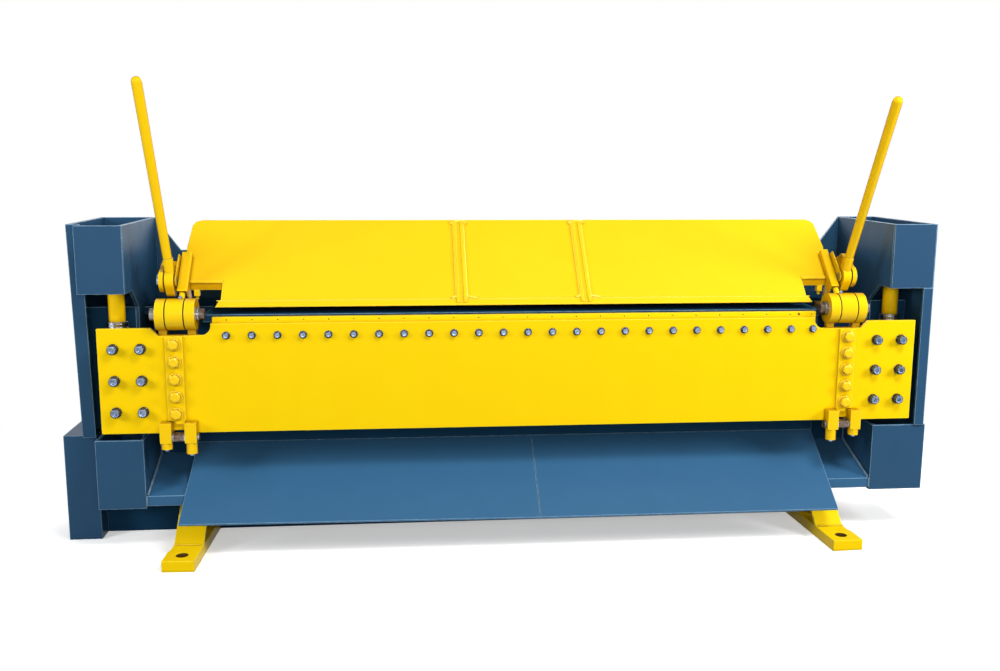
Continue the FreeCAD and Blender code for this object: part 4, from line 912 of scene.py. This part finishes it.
for node, profile, slot, paints in (
        ("leaf_end_bolts", CAP_SCREW, "bright_steel", (blued_steel, shaded_side_steel)),
        ("leaf_bar_bolts", BAR_BOLT, "bright_steel", (blued_steel, shaded_side_steel)),
        ("leaf_hinge_bolts", HINGE_BOLT, "yellow_paint", (yellow_weld,))):
    shape = bmesh.new()
    for low, high in islands(frame["nodes"][node]):
        start = Vector(((low.x + high.x) / 2, low.y, (low.z + high.z) / 2))
        shank_end = (high.y - low.y, profile[-1][1], "round", profile[-1][3])
        spin(shape, profile + [shank_end], start, (0, 1, 0))
    finish_piece(shape, node + "_turned", "folding_leaf", paints, stands_for=(node,))

# %% [markdown]
# ## Glands
# Each cylinder ends in a chromed gland with two lips and a groove between them, where
# the photograph shows bright and dark bands. The profile runs from the tube's mouth
# down to the rod, and the construction model's gland gives its place.

# %% The two glands
GLAND = steps(FACE, "round", (0.0, 0.0280), (0.0, 0.0440), (0.0015, 0.0458),
              (0.0050, 0.0458), (0.0056, 0.0425), (0.0082, 0.0425), (0.0088, 0.0446),
              (0.0200, 0.0446), (0.0206, 0.0425), (0.0226, 0.0425), (0.0232, 0.0452),
              (0.0260, 0.0452), (0.0270, 0.0440), (0.0270, 0.0201))
for word in ("left", "right"):
    low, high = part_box(word + "_gland")
    start = Vector(((low[0] + high[0]) / 2, (low[1] + high[1]) / 2, high[2]))
    shape = bmesh.new()
    spin(shape, GLAND, start, (0, 0, -1), 64)
    finish_piece(shape, word + "_gland_turned", word + "_ram_tube",
                 (chrome_steel,), stands_for=(word + "_gland",))

# %% [markdown]
# ## Weld beads
# The plates are joined by fillet welds, and after painting each is still a row of
# small overlapping scallops. A bead is made here as a thin tube along the seam whose
# radius rises and falls once for every scallop. Sculpting would look the same from
# a metre away; this way one function makes every seam.

# %% One function for all seams
BEAD_SIDES, RINGS_PER_SCALLOP = 8, 3
VALLEY, SCALLOP = 0.72, 0.28
UNEVEN, UNEVEN_PACE = 0.07, 91.0
LEAN = 0.2


def bead(shape, points, radius, pitch=0.0055):
    rings = []
    for first, last in zip(points, points[1:]):
        along = last - first
        count = max(4, int(along.length / pitch * RINGS_PER_SCALLOP))
        way = along.normalized()
        aside = way.orthogonal().normalized()
        over = way.cross(aside)
        for k in range(count + 1):
            s = along.length * k / count
            wave = abs(math.sin(math.pi * s / pitch))
            girth = radius * (VALLEY + SCALLOP * wave)
            girth = girth * (1.0 + UNEVEN * math.sin(s * UNEVEN_PACE))
            middle = first + way * (s + pitch * LEAN * wave)
            ring = ring_of(shape, middle, aside, over, [girth] * BEAD_SIDES)
            if rings:
                join_rings(shape, rings[-1], ring)
            rings.append(ring)
    shape.faces.new(list(reversed(rings[0])))
    shape.faces.new(rings[-1])


def weld(name, seams, body, material):
    shape = bmesh.new()
    for radius, points in seams:
        bead(shape, points, radius)
    finish_piece(shape, name, body, (material,))


print("weld function ready")

# %% [markdown]
# ## Welds of the bed and feet
# On each side the sloping apron meets the lower box with the heaviest bead of the
# machine, which shows clearly in the photograph. The bed wall and the feet have
# lighter ones, and the plate across the back is welded to both stands. The numbers
# are the bead's radius in metres and the seam's place in the drawing.

# %% Seams on the blue frame and the feet
SIDE_SEAMS = ((0.0075, 1534.5, (3, 240), (287, 341)),
              (0.0042, 1537.5, (-0.5, 199), (-0.5, 237)),
              (0.0048, 1537.5, (288.5, 346), (288.5, 930)))
seams = []
for s in (-1, 1):
    for radius, x, first, last in SIDE_SEAMS:
        seams.append((radius, [at(s * x, *first), at(s * x, *last)]))
weld("blue_frame_welds", seams, "frame", highlight_blue_weld)

FOOT_EDGES = ((-1430, -1313), (1290.5, 1407.5))
FOOT_INSET, FOOT_Y, FOOT_Z = 3, -61, 46
seams = []
for x0, x1 in FOOT_EDGES:
    ends = [at(x0 + FOOT_INSET, FOOT_Y, FOOT_Z), at(x1 - FOOT_INSET, FOOT_Y, FOOT_Z)]
    seams.append((0.0045, ends))
weld("foot_welds", seams, "frame", yellow_weld)

TIE_FROM, TIE_TO = 0.02, 0.42
low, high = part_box("rear_tie_plate")
seams = []
for x in (low[0] + 0.002, high[0] - 0.002):
    ends = [Vector((x, high[1] + 0.001, low[2] + rise)) for rise in (TIE_FROM, TIE_TO)]
    seams.append((0.005, ends))
weld("back_welds", seams, "frame", highlight_blue_weld)

# %% [markdown]
# ## Welds of the clamp beam
# The two ribs on the leaning face are welded all round, with a lump at each end
# where the bead turns the corner. A thin bead follows the nose bar's upper edge,
# and behind the face each stiffening rib has a bead on both sides.

# %% Seams on the clamp beam
NOSE_SEAM = 787.5
RIB_FOOT, RIB_SHOULDER, RIB_TOP = 790, 1198.0, 1214.0
seams = [(0.0022, [on_face(-1240, NOSE_SEAM, 1.0), on_face(1258, NOSE_SEAM, 1.0)])]
for low, high in islands(frame["nodes"]["face_ribs"]):
    x0, x1 = low.x * 1000 - DRAWING_SHIFT.x, high.x * 1000 - DRAWING_SHIFT.x
    for x in (x0 - 1.0, x1 + 1.0):
        seams.append((0.0060, [on_face(x, RIB_FOOT, 1.0), on_face(x, RIB_TOP, 1.0)]))
    seams.append((0.0100, [on_face(x0 - 9, RIB_SHOULDER, 1.0), on_face(x0, RIB_TOP, 1.5),
                           on_face(x1, RIB_TOP, 1.5), on_face(x1 + 9, RIB_SHOULDER, 1.0)]))
    seams.append((0.0078, [on_face(x0 - 22, 791, 1.5), on_face(x0 + 2, 800, 2.0)]))
    seams.append((0.0078, [on_face(x1 - 2, 800, 2.0), on_face(x1 + 44, 790, 1.5)]))
for low, high in islands(frame["nodes"]["beam_ribs"]):
    z = low.z + 0.001
    for x in (low.x - 0.001, high.x + 0.001):
        seams.append((0.0035, [Vector((x, low.y + 0.03, z)), Vector((x, high.y - 0.01, z))]))
weld("clamp_beam_welds", seams, "clamp_beam", highlight_yellow_weld)
